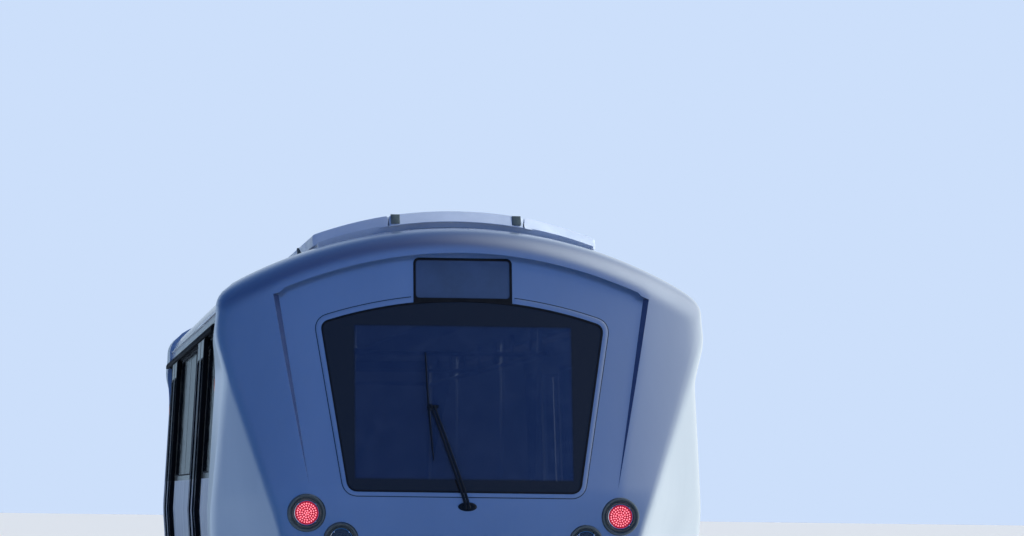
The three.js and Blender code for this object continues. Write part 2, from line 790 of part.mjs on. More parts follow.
// Interior

function benchSeat(side) {
  return prismX(benchOutline.map(([y, z]) => [side * y, z]), -benchHalfLength, benchHalfLength);
}

// Overhead rail of one side, with poles down to the floor
function grabPoles(side) {
  const { y: railY, z: railZ } = grabRail;
  const rail = [0, side * railY, railZ];
  const pieces = [roundBar("x", grabRail.radius, [-grabRail.endX, grabRail.endX], rail, barSegments)];
  for (const x of grabPole.places) {
    const place = [x, side * railY, 0];
    pieces.push(roundBar("z", grabPole.radius, [floorZ + seat, cantrailZ], place, barSegments));
  }
  return join(pieces);
}

// Bar between the poles, or between the rails where no pole stands
function crossBar(x) {
  const nearPole = grabPole.places.includes(x);
  const halfLength = grabRail.y - (nearPole ? grabPole.radius : grabRail.radius) - seat;
  return roundBar("y", grabCrossBar.radius, [-halfLength, halfLength], [x, 0, grabRail.z], barSegments);
}

// Bogie, in its own frame: X along the car from the pivot

function wheelset() {
  const half = [
    [journalRadius, journalEndY],
    [journalRadius, 900],
    [115, rimOuterY + 20],
    [115, rimOuterY - 20],
    [245, rimOuterY - 25],
    [treadRadius, rimOuterY],
    [treadRadius, flangeFrontY + 6],
    [flangeRadius, flangeFrontY - 8],
    [flangeRadius, flangeBackY],
    [250, flangeBackY],
    [115, rimOuterY - 75],
    [axleRadius, flangeBackY],
    [axleRadius, discY + discHalfThick],
    [discRadius, discY + discHalfThick],
    [discRadius, discY - discHalfThick],
    [axleRadius, discY - discHalfThick],
  ];
  const profile = [[0, journalEndY], ...half, ...half.toReversed().map(([r, y]) => [r, -y]), [0, -journalEndY]];
  const points = profile.toReversed().map(([r, y]) => new THREE.Vector2(r * circumscribe, y));
  return toSolid(new THREE.LatheGeometry(points, wheelSegments, halfSegment));
}

function bogieFrame() {
  const pieces = [];
  const along = (x, half) => [x - half, x + half];
  for (const side of [-1, 1]) {
    pieces.push(prismY(beamOutline, ...spanY(side, beamY - beamHalfWidth, beamY + beamHalfWidth)));
    for (const x of [-halfWheelbase, halfWheelbase]) {
      pieces.push(block(along(x, axleBox.halfLength), spanY(side, ...axleBox.y), axleBox.z));
    }
    const springZ = [beamTopZ - 20, bolsterBottomZ - seat];
    pieces.push(roundBar("z", airSpringRadius, springZ, [0, side * beamY, 0], 20));
    for (const [halfLength, y, z] of collectorTable) {
      pieces.push(block(along(0, halfLength), spanY(side, ...y), z));
    }
  }
  for (const x of transom.places) pieces.push(block(along(x, transom.halfLength), [-beamY, beamY], transom.z));
  let frame = join(pieces);
  for (const x of [-halfWheelbase, halfWheelbase]) {
    const bore = (journalRadius + journalClearance) * circumscribe;
    frame = frame.subtract(roundBar("y", bore, [-1200, 1200], [x, 0, axleZ], wheelSegments, halfSegment));
  }
  return frame;
}

// Linear induction motor, hung from the two transoms
function linearMotor() {
  const around = (middle, half) => [middle - half, middle + half];
  const pieces = [block(around(0, motorCore.halfLength), around(0, motorCore.halfWidth), motorCore.z)];
  const hangerZ = [motorHanger.bottomZ, transom.z[0] - seat];
  for (const x of transom.places) {
    for (const y of [-motorHanger.y, motorHanger.y]) {
      pieces.push(block(around(x, motorHanger.halfLength), around(y, motorHanger.halfWidth), hangerZ));
    }
  }
  return join(pieces);
}

// The assembly

const car = new THREE.Group();
const sides = [
  ["left", 1],
  ["right", -1],
];
const doorways = [
  ["front", doorCentreX],
  ["rear", -doorCentreX],
];

addMesh(car, "underframe", underframe(), "frame");
addMesh(car, "roof", roofShell(), "roof");
addMesh(car, "roof_cowl", roofCowl(), "roof");
addMesh(
  car,
  "ceiling",
  block([-7100, 7100], [-1475, 1475], [cantrailZ + seat, cantrailZ + seat + ceilingThick]),
  "interior",
);
for (const [name, x, y, z] of equipmentTable) addMesh(car, name, block(x, y, z), "frame");
for (const [place, x] of Object.entries(grabCrossBar.places)) {
  addMesh(car, `grab_cross_bar_${place}`, crossBar(x), "rail");
}

for (const [sideName, side] of sides) {
  addMesh(car, `side_wall_${sideName}`, sideWall(side), "body");
  addMesh(car, `seats_${sideName}`, benchSeat(side), "seat");
  addMesh(car, `grab_poles_${sideName}`, grabPoles(side), "rail");
  for (const [place, centre, half] of windowTable) {
    addMesh(car, `window_${sideName}_${place}`, sideWindow(side, centre, half), "glass");
  }
  for (const [place, centre] of doorways) {
    for (const [leafName, direction] of [["fore", 1], ["aft", -1]]) {
      addMesh(car, `door_${sideName}_${place}_${leafName}`, doorLeaf(side, centre, direction), "body");
    }
  }
}

for (const [end, turn] of [["front", 0], ["rear", Math.PI]]) {
  const cab = new THREE.Group();
  cab.rotation.z = turn;
  addMesh(cab, `end_cap_${end}`, endCap(), "body");
  addMesh(cab, `windscreen_${end}`, windscreen(), "glass");
  addMesh(cab, `destination_sign_${end}`, destinationSign(), "black");
  addMesh(cab, `wiper_${end}`, wiper(), "black");
  addMesh(cab, `bumper_${end}`, bumper(), "frame");
  addMesh(cab, `coupler_${end}`, coupler(), "frame");
  addMesh(cab, `console_${end}`, cabConsole(), "interior");
  for (const [sideName, side] of sides) {
    const carSide = turn === 0 ? sideName : sides.find(([, other]) => other === -side)[0];
    addMesh(cab, `lamps_${end}_${carSide}`, lampPair(side), "lamp");
  }
  car.add(cab);

  const bogie = new THREE.Group();
  bogie.position.x = turn === 0 ? bogieCentreX : -bogieCentreX;
  bogie.rotation.z = turn;
  addMesh(bogie, `bogie_frame_${end}`, bogieFrame(), "frame");
  addMesh(bogie, `linear_motor_${end}`, linearMotor(), "frame");
  for (const [place, x] of [["outer", halfWheelbase], ["inner", -halfWheelbase]]) {
    const axle = addMesh(bogie, `wheelset_${end}_${place}`, wheelset(), "running");
    axle.position.set(x, 0, axleZ);
  }
  car.add(bogie);
}

export default car;
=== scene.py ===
"""Dresses the people mover car: paint, glass, lamps, doors, saloon and running gear.

Metres, +Z up. X runs along the car towards its front end and +Y is its left side. The origin lies
midway between the ends, at the lowest point of the wheel flanges.
"""

from __future__ import annotations

import functools
import json
import logging
import math
from collections.abc import Sequence
from dataclasses import dataclass, field
from enum import Enum

import bmesh
import bpy
import numpy as np
from mathutils import Matrix, Vector

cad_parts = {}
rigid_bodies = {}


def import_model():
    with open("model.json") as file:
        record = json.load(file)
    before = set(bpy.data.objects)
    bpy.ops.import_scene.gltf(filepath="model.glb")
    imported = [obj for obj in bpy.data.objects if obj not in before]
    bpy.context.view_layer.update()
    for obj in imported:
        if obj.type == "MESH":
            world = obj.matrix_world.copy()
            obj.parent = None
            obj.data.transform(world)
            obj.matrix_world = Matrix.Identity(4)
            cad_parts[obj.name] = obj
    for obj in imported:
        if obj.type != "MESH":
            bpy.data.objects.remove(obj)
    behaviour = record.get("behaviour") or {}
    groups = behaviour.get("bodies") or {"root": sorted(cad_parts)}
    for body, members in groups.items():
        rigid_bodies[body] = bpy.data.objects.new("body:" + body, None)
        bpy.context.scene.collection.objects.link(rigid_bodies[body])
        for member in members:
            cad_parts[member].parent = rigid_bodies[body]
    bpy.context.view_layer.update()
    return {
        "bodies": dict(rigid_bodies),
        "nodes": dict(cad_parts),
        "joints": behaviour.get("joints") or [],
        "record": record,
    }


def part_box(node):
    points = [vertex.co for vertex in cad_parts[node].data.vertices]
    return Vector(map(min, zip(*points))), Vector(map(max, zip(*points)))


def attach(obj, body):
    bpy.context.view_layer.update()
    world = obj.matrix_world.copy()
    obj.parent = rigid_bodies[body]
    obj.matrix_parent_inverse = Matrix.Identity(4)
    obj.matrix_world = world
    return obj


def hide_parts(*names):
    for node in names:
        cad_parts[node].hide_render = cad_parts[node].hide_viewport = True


LOG = logging.getLogger("people_mover")
CAR = "car_body"
MM = 0.001
# Dimensions that several sub-assemblies share
NOSE_X = 8.5
WALL_END_X = 7.1997
FLOOR_Z = 0.9303
CANTRAIL_Z = 3.08
AHEAD = (1.0, 0.0, 0.0)
UP = (0.0, 0.0, 1.0)
DOWN = (0.0, 0.0, -1.0)

Point = tuple[float, float, float]
Pair = tuple[float, float]
Outline = list[Pair]
Socket = bpy.types.NodeSocket


class Slot(str, Enum):
    """Material slots of the record."""

    BODY = "body_paint"
    LOWER = "lower_paint"
    ROOF = "roof_paint"
    COWL = "cowl_paint"
    GLASS = "tinted_glass"
    SIGN = "sign_face"
    TRIM = "black_trim"
    SEAL = "seal_rubber"
    BEZEL = "lamp_bezel"
    LENS = "lamp_lens"
    LINING = "lining"
    FLOOR = "floor_cover"
    SEAT = "seat_shell"
    POLE = "pole_steel"
    FRAME = "frame_paint"
    BOGIE = "bogie_paint"
    MOTOR = "motor_casing"
    COUPLER = "coupler_steel"
    WHEEL = "wheel_steel"


# Materials


def linear(hex_colour: str) -> tuple[float, float, float, float]:
    """Turns an sRGB hex value such as "#8fa0b0" into a linear colour with an alpha of 1."""
    parts = [int(hex_colour[start : start + 2], 16) / 255 for start in (1, 3, 5)]
    return (*[part / 12.92 if part <= 0.04045 else ((part + 0.055) / 1.055) ** 2.4 for part in parts], 1.0)


def add_node(
    tree: bpy.types.NodeTree,
    kind: str,
    out: str | int,
    settings: dict[str | int, object] | None = None,
    links: dict[str | int, Socket] | None = None,
) -> Socket:
    """Adds one node, with its settings and what feeds its sockets.

    Args:
        tree: node tree that takes the node.
        kind: Blender's identifier of the node, without "ShaderNode".
        out: name or number of the output that is used.
        settings: values by property name, or by the name or number of an input.
        links: sockets by the name or number of the input that they feed.

    Returns:
        The output.
    """
    node = tree.nodes.new("ShaderNode" + kind)
    for name, value in (settings or {}).items():
        if isinstance(name, str) and hasattr(node, name):
            setattr(node, name, value)
        else:
            node.inputs[name].default_value = value
    for name, socket in (links or {}).items():
        tree.links.new(socket, node.inputs[name])
    return node.outputs[out]


@dataclass(frozen=True)
class Recipe:
    """What a material is made from. Each kind of surface wires its own nodes."""

    name: str

    def wire(self, tree: bpy.types.NodeTree, place: Socket) -> dict[str, Socket | float]:
        """Adds the surface's nodes.

        Args:
            tree: node tree of the material.
            place: position on the object.

        Returns:
            The number, or the socket, for each input of the shader.
        """
        raise NotImplementedError

    def build(self) -> bpy.types.Material:
        """Makes the node material.

        Returns:
            The material.
        """
        material = bpy.data.materials.new(self.name)
        material.use_nodes = True
        tree = material.node_tree
        inputs = tree.nodes["Principled BSDF"].inputs
        for name, value in self.wire(tree, add_node(tree, "TexCoord", "Object")).items():
            if isinstance(value, Socket):
                tree.links.new(value, inputs[name])
            else:
                inputs[name].default_value = value
        return material


@dataclass(frozen=True)
class Finish(Recipe):
    """An opaque surface: its base, how it was made, and what age did to it."""

    # Main colour, and the colour of its cloudy patches
    colour: str
    second: str
    roughness: float
    metallic: float = 0.0
    # Size of the patches, and share of the second colour in them
    cloud_mm: float = 400.0
    cloud: float = 0.3
    # Size of the surface's grain, and its depth as bump strength
    grain_mm: float = 2.0
    grain: float = 0.05
    # How far the roughness wanders
    spread: float = 0.08
    # How much the patches are drawn out downwards, as rain leaves them
    streaks: float = 1.0
    coat: float = 0.0
    specular: float = 0.5
    # Road dust: colour, height up to which it lies, and share at the lowest point
    soil: str = "#6b655c"
    soil_top: float = 1.0
    soil_share: float = 0.0

    def wire(self, tree: bpy.types.NodeTree, place: Socket) -> dict[str, Socket | float]:
        """Adds the surface's nodes.

        Args:
            tree: node tree of the material.
            place: position on the object.

        Returns:
            The number, or the socket, for each input of the shader.
        """
        drawn = add_node(tree, "Mapping", 0, {"Scale": (1.0, 1.0, 1.0 / self.streaks)}, {"Vector": place})
        sizes = {"Scale": 1.0 / (self.cloud_mm * MM), "Detail": 5.0, "Roughness": 0.6}
        clouds = add_node(tree, "TexNoise", "Fac", sizes, {"Vector": drawn})
        limits = {"From Min": 0.35, "From Max": 0.7, "To Max": self.cloud}
        amount = add_node(tree, "MapRange", 0, limits, {"Value": clouds})
        colours = {"data_type": "RGBA", 6: linear(self.colour), 7: linear(self.second)}
        colour = add_node(tree, "Mix", 2, colours, {"Factor": amount})
        limits = {"From Min": 0.3, "From Max": 0.7, "To Min": max(0.02, self.roughness - self.spread)}
        limits["To Max"] = min(1.0, self.roughness + self.spread)
        rough = add_node(tree, "MapRange", 0, limits, {"Value": clouds})
        if self.soil_share > 0:
            # Dust lies thickest at the bottom, and the patches break its edge
            height = add_node(tree, "SeparateXYZ", "Z", links={"Vector": place})
            limits = {"From Min": self.soil_top, "From Max": 0.1, "To Max": self.soil_share}
            fall = add_node(tree, "MapRange", 0, limits, {"Value": height})
            times = {"operation": "MULTIPLY", "use_clamp": True}
            broken = add_node(tree, "Math", 0, times, {0: fall, 1: clouds})
            dust = add_node(tree, "Math", 0, {**times, 1: 2.0}, {0: broken})
            soil = {"data_type": "RGBA", 7: linear(self.soil)}
            colour = add_node(tree, "Mix", 2, soil, {"Factor": dust, 6: colour})
            rough = add_node(tree, "Mix", 0, {"data_type": "FLOAT", 3: 0.9}, {"Factor": dust, 2: rough})
        sizes = {"Scale": 1.0 / (self.grain_mm * MM), "Detail": 2.0}
        grain = add_node(tree, "TexNoise", "Fac", sizes, {"Vector": place})
        depth = {"Strength": self.grain, "Distance": self.grain_mm * MM}
        return {
            "Base Color": colour,
            "Roughness": rough,
            "Normal": add_node(tree, "Bump", 0, depth, {"Height": grain}),
            "Metallic": self.metallic,
            "Coat Weight": self.coat,
            "Coat Roughness": 0.08,
            "Specular IOR Level": self.specular,
        }


@dataclass(frozen=True)
class Glazing(Recipe):
    """Tinted safety glass. What lies behind it shows dimly, and the sky shows on it."""

    tint: str
    # Share of the view behind that the tint holds back
    cover: float
    # Half width, low and high of the clear field inside a black ceramic border, if any
    clear: Point | None = None

    def wire(self, tree: bpy.types.NodeTree, place: Socket) -> dict[str, Socket | float]:
        """Adds the surface's nodes.

        Args:
            tree: node tree of the material.
            place: position on the object.

        Returns:
            The number, or the socket, for each input of the shader.
        """
        # Toughened panes are never quite flat: waves of about 150 mm bend what they mirror
        waves = add_node(tree, "TexNoise", "Fac", {"Scale": 6.5, "Detail": 1.0}, {"Vector": place})
        bump = add_node(tree, "Bump", 0, {"Strength": 0.05, "Distance": 0.02}, {"Height": waves})
        sizes = {"Scale": 9.0, "Detail": 4.0, "Distortion": 0.6}
        smears = add_node(tree, "TexNoise", "Fac", sizes, {"Vector": place})
        limits = {"From Min": 0.4, "From Max": 0.8, "To Max": 0.05}
        film = add_node(tree, "MapRange", 0, limits, {"Value": smears})
        colours = {"data_type": "RGBA", 6: linear(self.tint), 7: linear("#8c99a8")}
        colour = add_node(tree, "Mix", 2, colours, {"Factor": film})
        cover = add_node(tree, "Math", 0, {"operation": "ADD", 1: self.cover}, {0: film})
        if self.clear:
            border = self.border_mask(tree, place)
            frit = {"data_type": "RGBA", 7: linear("#1d1e22")}
            colour = add_node(tree, "Mix", 2, frit, {"Factor": border, 6: colour})
            cover = add_node(tree, "Math", 0, {"operation": "MAXIMUM"}, {0: cover, 1: border})
        return {"Base Color": colour, "Alpha": cover, "Normal": bump, "Roughness": 0.03, "IOR": 1.52}

    def border_mask(self, tree: bpy.types.NodeTree, place: Socket) -> Socket:
        """Share of the black border at a point of the pane, fading over the dots along its edge.

        Args:
            tree: node tree of the material.
            place: position on the object.

        Returns:
            Socket that is 1 on the border and 0 on the clear field.
        """
        half_width, low, high = self.clear
        split = add_node(tree, "SeparateXYZ", "Y", links={"Vector": place})
        middle = {"operation": "SUBTRACT", 1: (low + high) / 2}
        rise = add_node(tree, "Math", 0, middle, {0: split.node.outputs["Z"]})
        outs = []
        for distance, half in ((split, half_width), (rise, (high - low) / 2)):
            size = add_node(tree, "Math", 0, {"operation": "ABSOLUTE"}, {0: distance})
            outs.append(add_node(tree, "Math", 0, {"operation": "SUBTRACT", 1: half}, {0: size}))
        out = add_node(tree, "Math", 0, {"operation": "MAXIMUM"}, dict(enumerate(outs)))
        fade = {"interpolation_type": "SMOOTHSTEP", "From Min": -0.012, "From Max": 0.006}
        return add_node(tree, "MapRange", 0, fade, {"Value": out})


@dataclass(frozen=True)
class Glow(Recipe):
    """A light source or lens that glows by itself."""

    colour: str
    strength: float
    # Colour of the unlit plastic
    body: str

    def wire(self, tree: bpy.types.NodeTree, place: Socket) -> dict[str, Socket | float]:
        """Adds the surface's nodes.

        Args:
            tree: node tree of the material.
            place: position on the object.

        Returns:
            The number, or the socket, for each input of the shader.
        """
        # Moulded lens: fine pips about 4 mm apart, with dark gaps between them
        pips = add_node(tree, "TexVoronoi", "Distance", {"Scale": 250.0}, {"Vector": place})
        bump = add_node(tree, "Bump", 0, {"Strength": 0.3, "Distance": 0.002}, {"Height": pips})
        gap = {"data_type": "RGBA", 7: linear("#1a0408")}
        shades = [{**gap, 6: linear(shade)} for shade in (self.body, self.colour)]
        base, light = (add_node(tree, "Mix", 2, shade, {"Factor": pips}) for shade in shades)
        return {
            "Base Color": base,
            "Emission Color": light,
            "Normal": bump,
            "Roughness": 0.2,
            "Emission Strength": self.strength,
        }


@functools.cache
def paint(recipe: Recipe) -> bpy.types.Material:
    """Returns the material of a recipe, made on first use."""
    return recipe.build()


# Metallic base coat under clear lacquer: silver that mirrors the sky, with a slight blue cast in its colour
# that is painted sky reflection
BODY_PAINT = Finish(
    "silver_metallic_lacquer", "#bcc4cf", "#a3adbb", 0.33, 0.88, cloud_mm=700, cloud=0.35, grain_mm=3,
    grain=0.015, spread=0.05, streaks=5, coat=0.5, soil="#8b877e", soil_top=1.6, soil_share=0.35,
)
# White enamel that throws the sun's heat back, greyed by years of rain
ROOF_PAINT = Finish(
    "weathered_roof_enamel", "#c6cdd6", "#aab3be", 0.4, cloud_mm=350, cloud=0.5, grain_mm=4, grain=0.04,
    spread=0.1, coat=0.8,
)
# Glass-fibre fairing with gel coat: pale, slightly chalky
COWL_GEL = Finish(
    "fairing_gel_coat", "#dfe6ee", "#b9c4d0", 0.42, cloud_mm=280, cloud=0.5, grain_mm=5, spread=0.1,
    coat=0.2,
)
# Satin enamel on the skirt panels, dulled by track dust
LOWER_PAINT = Finish(
    "grey_satin_enamel", "#bcc4ce", "#99a0aa", 0.42, 0.2, cloud_mm=300, cloud=0.5, grain_mm=3, grain=0.03,
    spread=0.1, streaks=4, soil="#6f6a62", soil_top=1.9, soil_share=0.6,
)
# Black glazed band between the windows
BAND_GLASS = Finish(
    "black_band_enamel", "#1f242b", "#303842", 0.12, cloud_mm=500, cloud=0.4, grain_mm=8, grain=0.01,
    spread=0.04, streaks=3, coat=0.6,
)
# Anodised track and edge bars, dull black: they stay dark even seen along the car
BLACK_ANODISED = Finish(
    "black_anodised_aluminium", "#0c0d10", "#191b1f", 0.75, cloud_mm=120, cloud=0.4, grain_mm=1.5,
    grain=0.1, specular=0.1,
)
# Extruded rubber: dull, with a faint bloom
RUBBER = Finish(
    "epdm_rubber", "#141517", "#2a2c2f", 0.8, cloud_mm=60, cloud=0.5, grain_mm=1.5, grain=0.12,
    spread=0.1, specular=0.2,
)
# Powder-coated black steel of the wiper and small fittings
BLACK_STEEL = Finish(
    "black_powder_coat", "#0f1012", "#1f2124", 0.5, 0.2, cloud_mm=80, cloud=0.4, grain_mm=1.2, grain=0.2,
)
# Moulded pockets in the fairing, greyed by the sun
POCKET_PLASTIC = Finish(
    "moulded_pocket_plastic", "#5d6866", "#3d4644", 0.6, cloud_mm=30, cloud=0.6, grain=0.2,
)
# Cast aluminium lamp bezel with dark enamel
BEZEL_CAST = Finish(
    "dark_cast_bezel", "#59615f", "#767e7c", 0.45, 0.35, cloud_mm=40, cloud=0.5, grain=0.15, spread=0.1,
)
# Bright chromed rims and screws
CHROME = Finish(
    "chrome_plate", "#d5dae0", "#aab2bb", 0.14, 1.0, cloud_mm=50, grain_mm=1, grain=0.02, spread=0.05,
)
# Unlit lamp glass over a dark reflector
DARK_LENS = Finish(
    "smoked_polycarbonate", "#20262d", "#3a444f", 0.1, cloud_mm=25, cloud=0.5, grain_mm=4, grain=0.1,
    spread=0.04, coat=1.0,
)
# Dark acrylic front of the blank sign
SIGN_ACRYLIC = Finish(
    "dark_sign_acrylic", "#3d4b63", "#46597d", 0.16, cloud_mm=200, cloud=0.5, grain_mm=6, grain=0.01,
    spread=0.04, coat=0.8,
)
# Chassis paint with dust of brake and rail
FRAME_PAINT = Finish(
    "chassis_enamel", "#3b3f45", "#56534e", 0.6, 0.1, cloud_mm=160, cloud=0.6, grain_mm=2.5, grain=0.2,
    spread=0.12, soil="#6f5f4e", soil_top=0.95, soil_share=0.8,
)
# Cast and welded bogie steel, dark grey under brown rail dust
BOGIE_PAINT = Finish(
    "bogie_enamel", "#45484c", "#5f564b", 0.62, 0.15, cloud_mm=110, cloud=0.7, grain_mm=2.5, grain=0.3,
    spread=0.12, soil="#6b543f", soil_top=0.75, soil_share=0.9,
)
# Aluminium casing of the motor and of the equipment boxes
CASING = Finish(
    "aluminium_casing", "#8c9298", "#6e7276", 0.48, 0.7, cloud_mm=140, cloud=0.5, grain=0.12, spread=0.1,
    soil="#6b5c4c", soil_top=0.8, soil_share=0.8,
)
# Forged steel, machined and oiled
FORGED_STEEL = Finish(
    "forged_steel", "#6b6a69", "#4c4038", 0.42, 0.9, cloud_mm=70, cloud=0.6, grain=0.2, spread=0.12,
)
# Running surface of a wheel, polished bright by the rail
TREAD_STEEL = Finish(
    "polished_tread", "#b7b5b2", "#8f8a84", 0.2, 1.0, cloud_mm=30, cloud=0.4, grain_mm=1, grain=0.06,
)
# Moulded glass-fibre seat shells
SEAT_SHELL = Finish(
    "moulded_seat_shell", "#2f5588", "#23406a", 0.38, cloud_mm=150, cloud=0.4, grain_mm=1.5, grain=0.12,
)
# Brushed stainless grab poles
POLE_STEEL = Finish(
    "brushed_stainless", "#ccd1d6", "#a6acb2", 0.34, 1.0, cloud_mm=60, grain_mm=0.8, grain=0.08,
)
# Melamine wall and ceiling lining
LINING = Finish(
    "melamine_lining", "#d9d9d3", "#c2c3bf", 0.5, cloud_mm=260, cloud=0.4, grain_mm=1.5,
)
# Painted shade for the walls of the recessed panel: a darker blue stands in for the shade that falls in the
# creases
CREASE_SHADE_PAINT = Finish(
    "crease_bead", "#43547a", "#37466a", 0.55, cloud_mm=60, cloud=0.5, grain=0.1, specular=0.3,
)
# Grey sealant in the joint round the windscreen frame
SEALANT = Finish(
    "polyurethane_sealant", "#39424f", "#2b323c", 0.6, cloud_mm=40, cloud=0.4, grain_mm=1.5, grain=0.1,
)
# Speckled rubber flooring
FLOOR_COVER = Finish(
    "speckled_floor_rubber", "#4a4e55", "#6b7078", 0.6, cloud_mm=9, cloud=0.7, grain_mm=3, grain=0.15,
)
WINDSCREEN_GLASS = Glazing("tinted_windscreen", "#1d2f54", 0.76, clear=(0.697, 2.036, 3.02))
SIDE_GLASS = Glazing("tinted_side_glass", "#0b0f16", 0.8)
TAIL_LED = Glow("red_led_cluster", "#f22c46", 0.62, "#b01830")
TAIL_LED_TIP = Glow("red_led_tip", "#ff8290", 3.2, "#ff6a80")
MARKER_AMBER = Glow("amber_marker", "#ff8a1e", 1.2, "#c46a10")
CEILING_LIGHT = Glow("ceiling_light", "#c8d4e8", 0.15, "#8f98a6")


# Meshes


@dataclass
class MeshPart:
    """Vertices and faces that several shapes are gathered in before they become one object.

    The tone of a face is the number of its material.
    """

    points: list[Point] = field(default_factory=list)
    faces: list[Sequence[int]] = field(default_factory=list)
    tones: list[int] = field(default_factory=list)

    def fill(self, row: Sequence[Point], tone: int = 0) -> None:
        """Adds one face.

        Args:
            row: its corners in order.
            tone: its tone.
        """
        self.faces.append([len(self.points) + corner for corner in range(len(row))])
        self.points += row
        self.tones.append(tone)

    def skin(
        self,
        rows: Sequence[Sequence[Point]],
        tone: int | Sequence[int] = 0,
        around: bool = False,
        loop: bool = False,
        ends: bool = False,
    ) -> None:
        """Adds a surface through rows of points.

        Args:
            rows: rows of equal length.
            tone: its tone, or one for each gap between rows.
            around: whether each row returns to its first point.
            loop: whether the last row joins the first.
            ends: whether the first and the last row are filled.
        """
        base, count = len(self.points), len(rows[0])
        self.points += [point for row in rows for point in row]
        tones = [tone] * len(rows) if isinstance(tone, int) else tone
        for index in range(len(rows) if loop else len(rows) - 1):
            here, after = base + index * count, base + (index + 1) % len(rows) * count
            for column in range(count if around else count - 1):
                turn = (column + 1) % count
                self.faces.append((here + column, here + turn, after + turn, after + column))
                self.tones.append(tones[index])
        for index in (0, len(rows) - 1) if ends else ():
            self.faces.append([base + index * count + column for column in range(count)])
            self.tones.append(tones[0])

    def loft(self, rows: Sequence[Sequence[Point]], tone: int = 0) -> None:
        """Adds a closed body through rows of points, with crisp ends.

        Args:
            rows: closed rows of equal length.
            tone: its tone.
        """
        self.skin(rows, tone, around=True)
        for row in (rows[0], rows[-1]):
            self.fill(row, tone)

    def slab(
        self,
        front: Sequence[Sequence[Point]],
        back: Sequence[Sequence[Point]],
        tones: tuple[int | Sequence[int], int | Sequence[int], int, int] = (0, 0, 0, 0),
    ) -> None:
        """Adds a body between two surfaces with as many rows and columns.

        Args:
            front: rows of the one surface.
            back: rows of the other.
            tones: tones of the front, of the back, beside the end rows, and beside the end columns.
        """
        face, rear, row_tone, column_tone = tones
        self.skin(front, face)
        self.skin(back, rear)
        for end in (0, -1):
            self.skin((front[end], back[end]), row_tone)
            self.skin([[row[end] for row in rows] for rows in (front, back)], column_tone)

    def prism(self, outline: Sequence[Point], travel: Point, tone: int = 0) -> None:
        """Adds an outline carried along a straight line, closed at both ends."""
        moved = [tuple(a + b for a, b in zip(point, travel)) for point in outline]
        self.skin((outline, moved), tone, around=True, ends=True)

    def box(self, low: Point, high: Point, tone: int = 0) -> None:
        """Adds a box.

        Args:
            low: one corner.
            high: the opposite corner.
            tone: its tone.
        """
        (x0, x1), (y0, y1), heights = (sorted(pair) for pair in zip(low, high))
        rows = [[(x0, y0, z), (x1, y0, z), (x1, y1, z), (x0, y1, z)] for z in heights]
        self.skin(rows, tone, around=True, ends=True)

    def block(self, middle: Pair, half: Pair, heights: Pair, tone: int = 0) -> None:
        """Adds a box by its middle, its half length and half width, and its lowest and highest height."""
        (x, y), (half_x, half_y), (low, high) = middle, half, heights
        self.box((x - half_x, y - half_y, low), (x + half_x, y + half_y, high), tone)

    def turned(
        self,
        profile: Sequence[Pair],
        centre: Point,
        axis: Point,
        segments: int = 32,
        tone: int | Sequence[int] = 0,
    ) -> None:
        """Adds a body of revolution.

        Args:
            profile: (distance along the axis, radius) from one end to the other.
            centre: point on the axis where the distance is 0.
            axis: direction of the axis.
            segments: steps round the axis.
            tone: its tone, or one for each step of the profile.
        """
        spin = Vector(UP).rotation_difference(Vector(axis).normalized()).to_matrix()
        angles = [2 * math.pi * step / segments for step in range(segments)]
        rows = []
        for height, radius in profile:
            ring = [Vector((radius * math.cos(t), radius * math.sin(t), height)) for t in angles]
            rows.append([tuple(Vector(centre) + spin @ spot) for spot in ring])
        self.skin(rows, tone, around=True, ends=True)

    def rod(self, start: Point, end: Point, radius: float, segments: int = 12, tone: int = 0) -> None:
        """Adds a round bar between two points."""
        along = Vector(end) - Vector(start)
        self.turned([(0.0, radius), (along.length, radius)], start, along, segments, tone)

    def tube(self, path: Sequence[Point], radius: float, segments: int = 10, tone: int = 0) -> None:
        """Adds a pipe with closed ends.

        Args:
            path: points of its centre line.
            radius: radius of the pipe.
            segments: steps round it.
            tone: its tone.
        """
        line = [Vector(point) for point in path]
        angles = [2 * math.pi * step / segments for step in range(segments)]
        rows = []
        side = Vector(UP)
        for index, here in enumerate(line):
            ahead = (line[min(index + 1, len(line) - 1)] - line[max(index - 1, 0)]).normalized()
            lean = side.dot(ahead)
            side = (side - ahead * lean).normalized() if abs(lean) < 0.99 else ahead.orthogonal()
            other = ahead.cross(side)
            rows.append([tuple(here + radius * (math.cos(t) * side + math.sin(t) * other)) for t in angles])
        self.skin(rows, tone, around=True, ends=True)

    def ring(
        self, inner: Sequence[Point], outer: Sequence[Point], lift: Point, tone: int = 0, closed: bool = True
    ) -> None:
        """Adds a flat band between two lines with as many points.

        Args:
            inner: its inner edge, on the surface that it lies on.
            outer: its outer edge.
            lift: step from its back to its face.
            tone: its tone.
            closed: whether the band goes all the way round.
        """
        near, far = ([tuple(a + b for a, b in zip(point, lift)) for point in line] for line in (inner, outer))
        self.skin([*zip(inner, near, far, outer)], tone, True, closed, not closed)

    def moved(self, matrix: Matrix) -> MeshPart:
        """Returns a copy of the part, moved by a matrix."""
        return MeshPart([tuple(matrix @ Vector(point)) for point in self.points], self.faces, self.tones)


def add_object(name: str, data: bpy.types.ID) -> bpy.types.Object:
    """Adds an object to the scene.

    Args:
        name: its name.
        data: mesh, camera or light that it holds.

    Returns:
        The object.
    """
    thing = bpy.data.objects.new(name, data)
    bpy.context.scene.collection.objects.link(thing)
    return thing


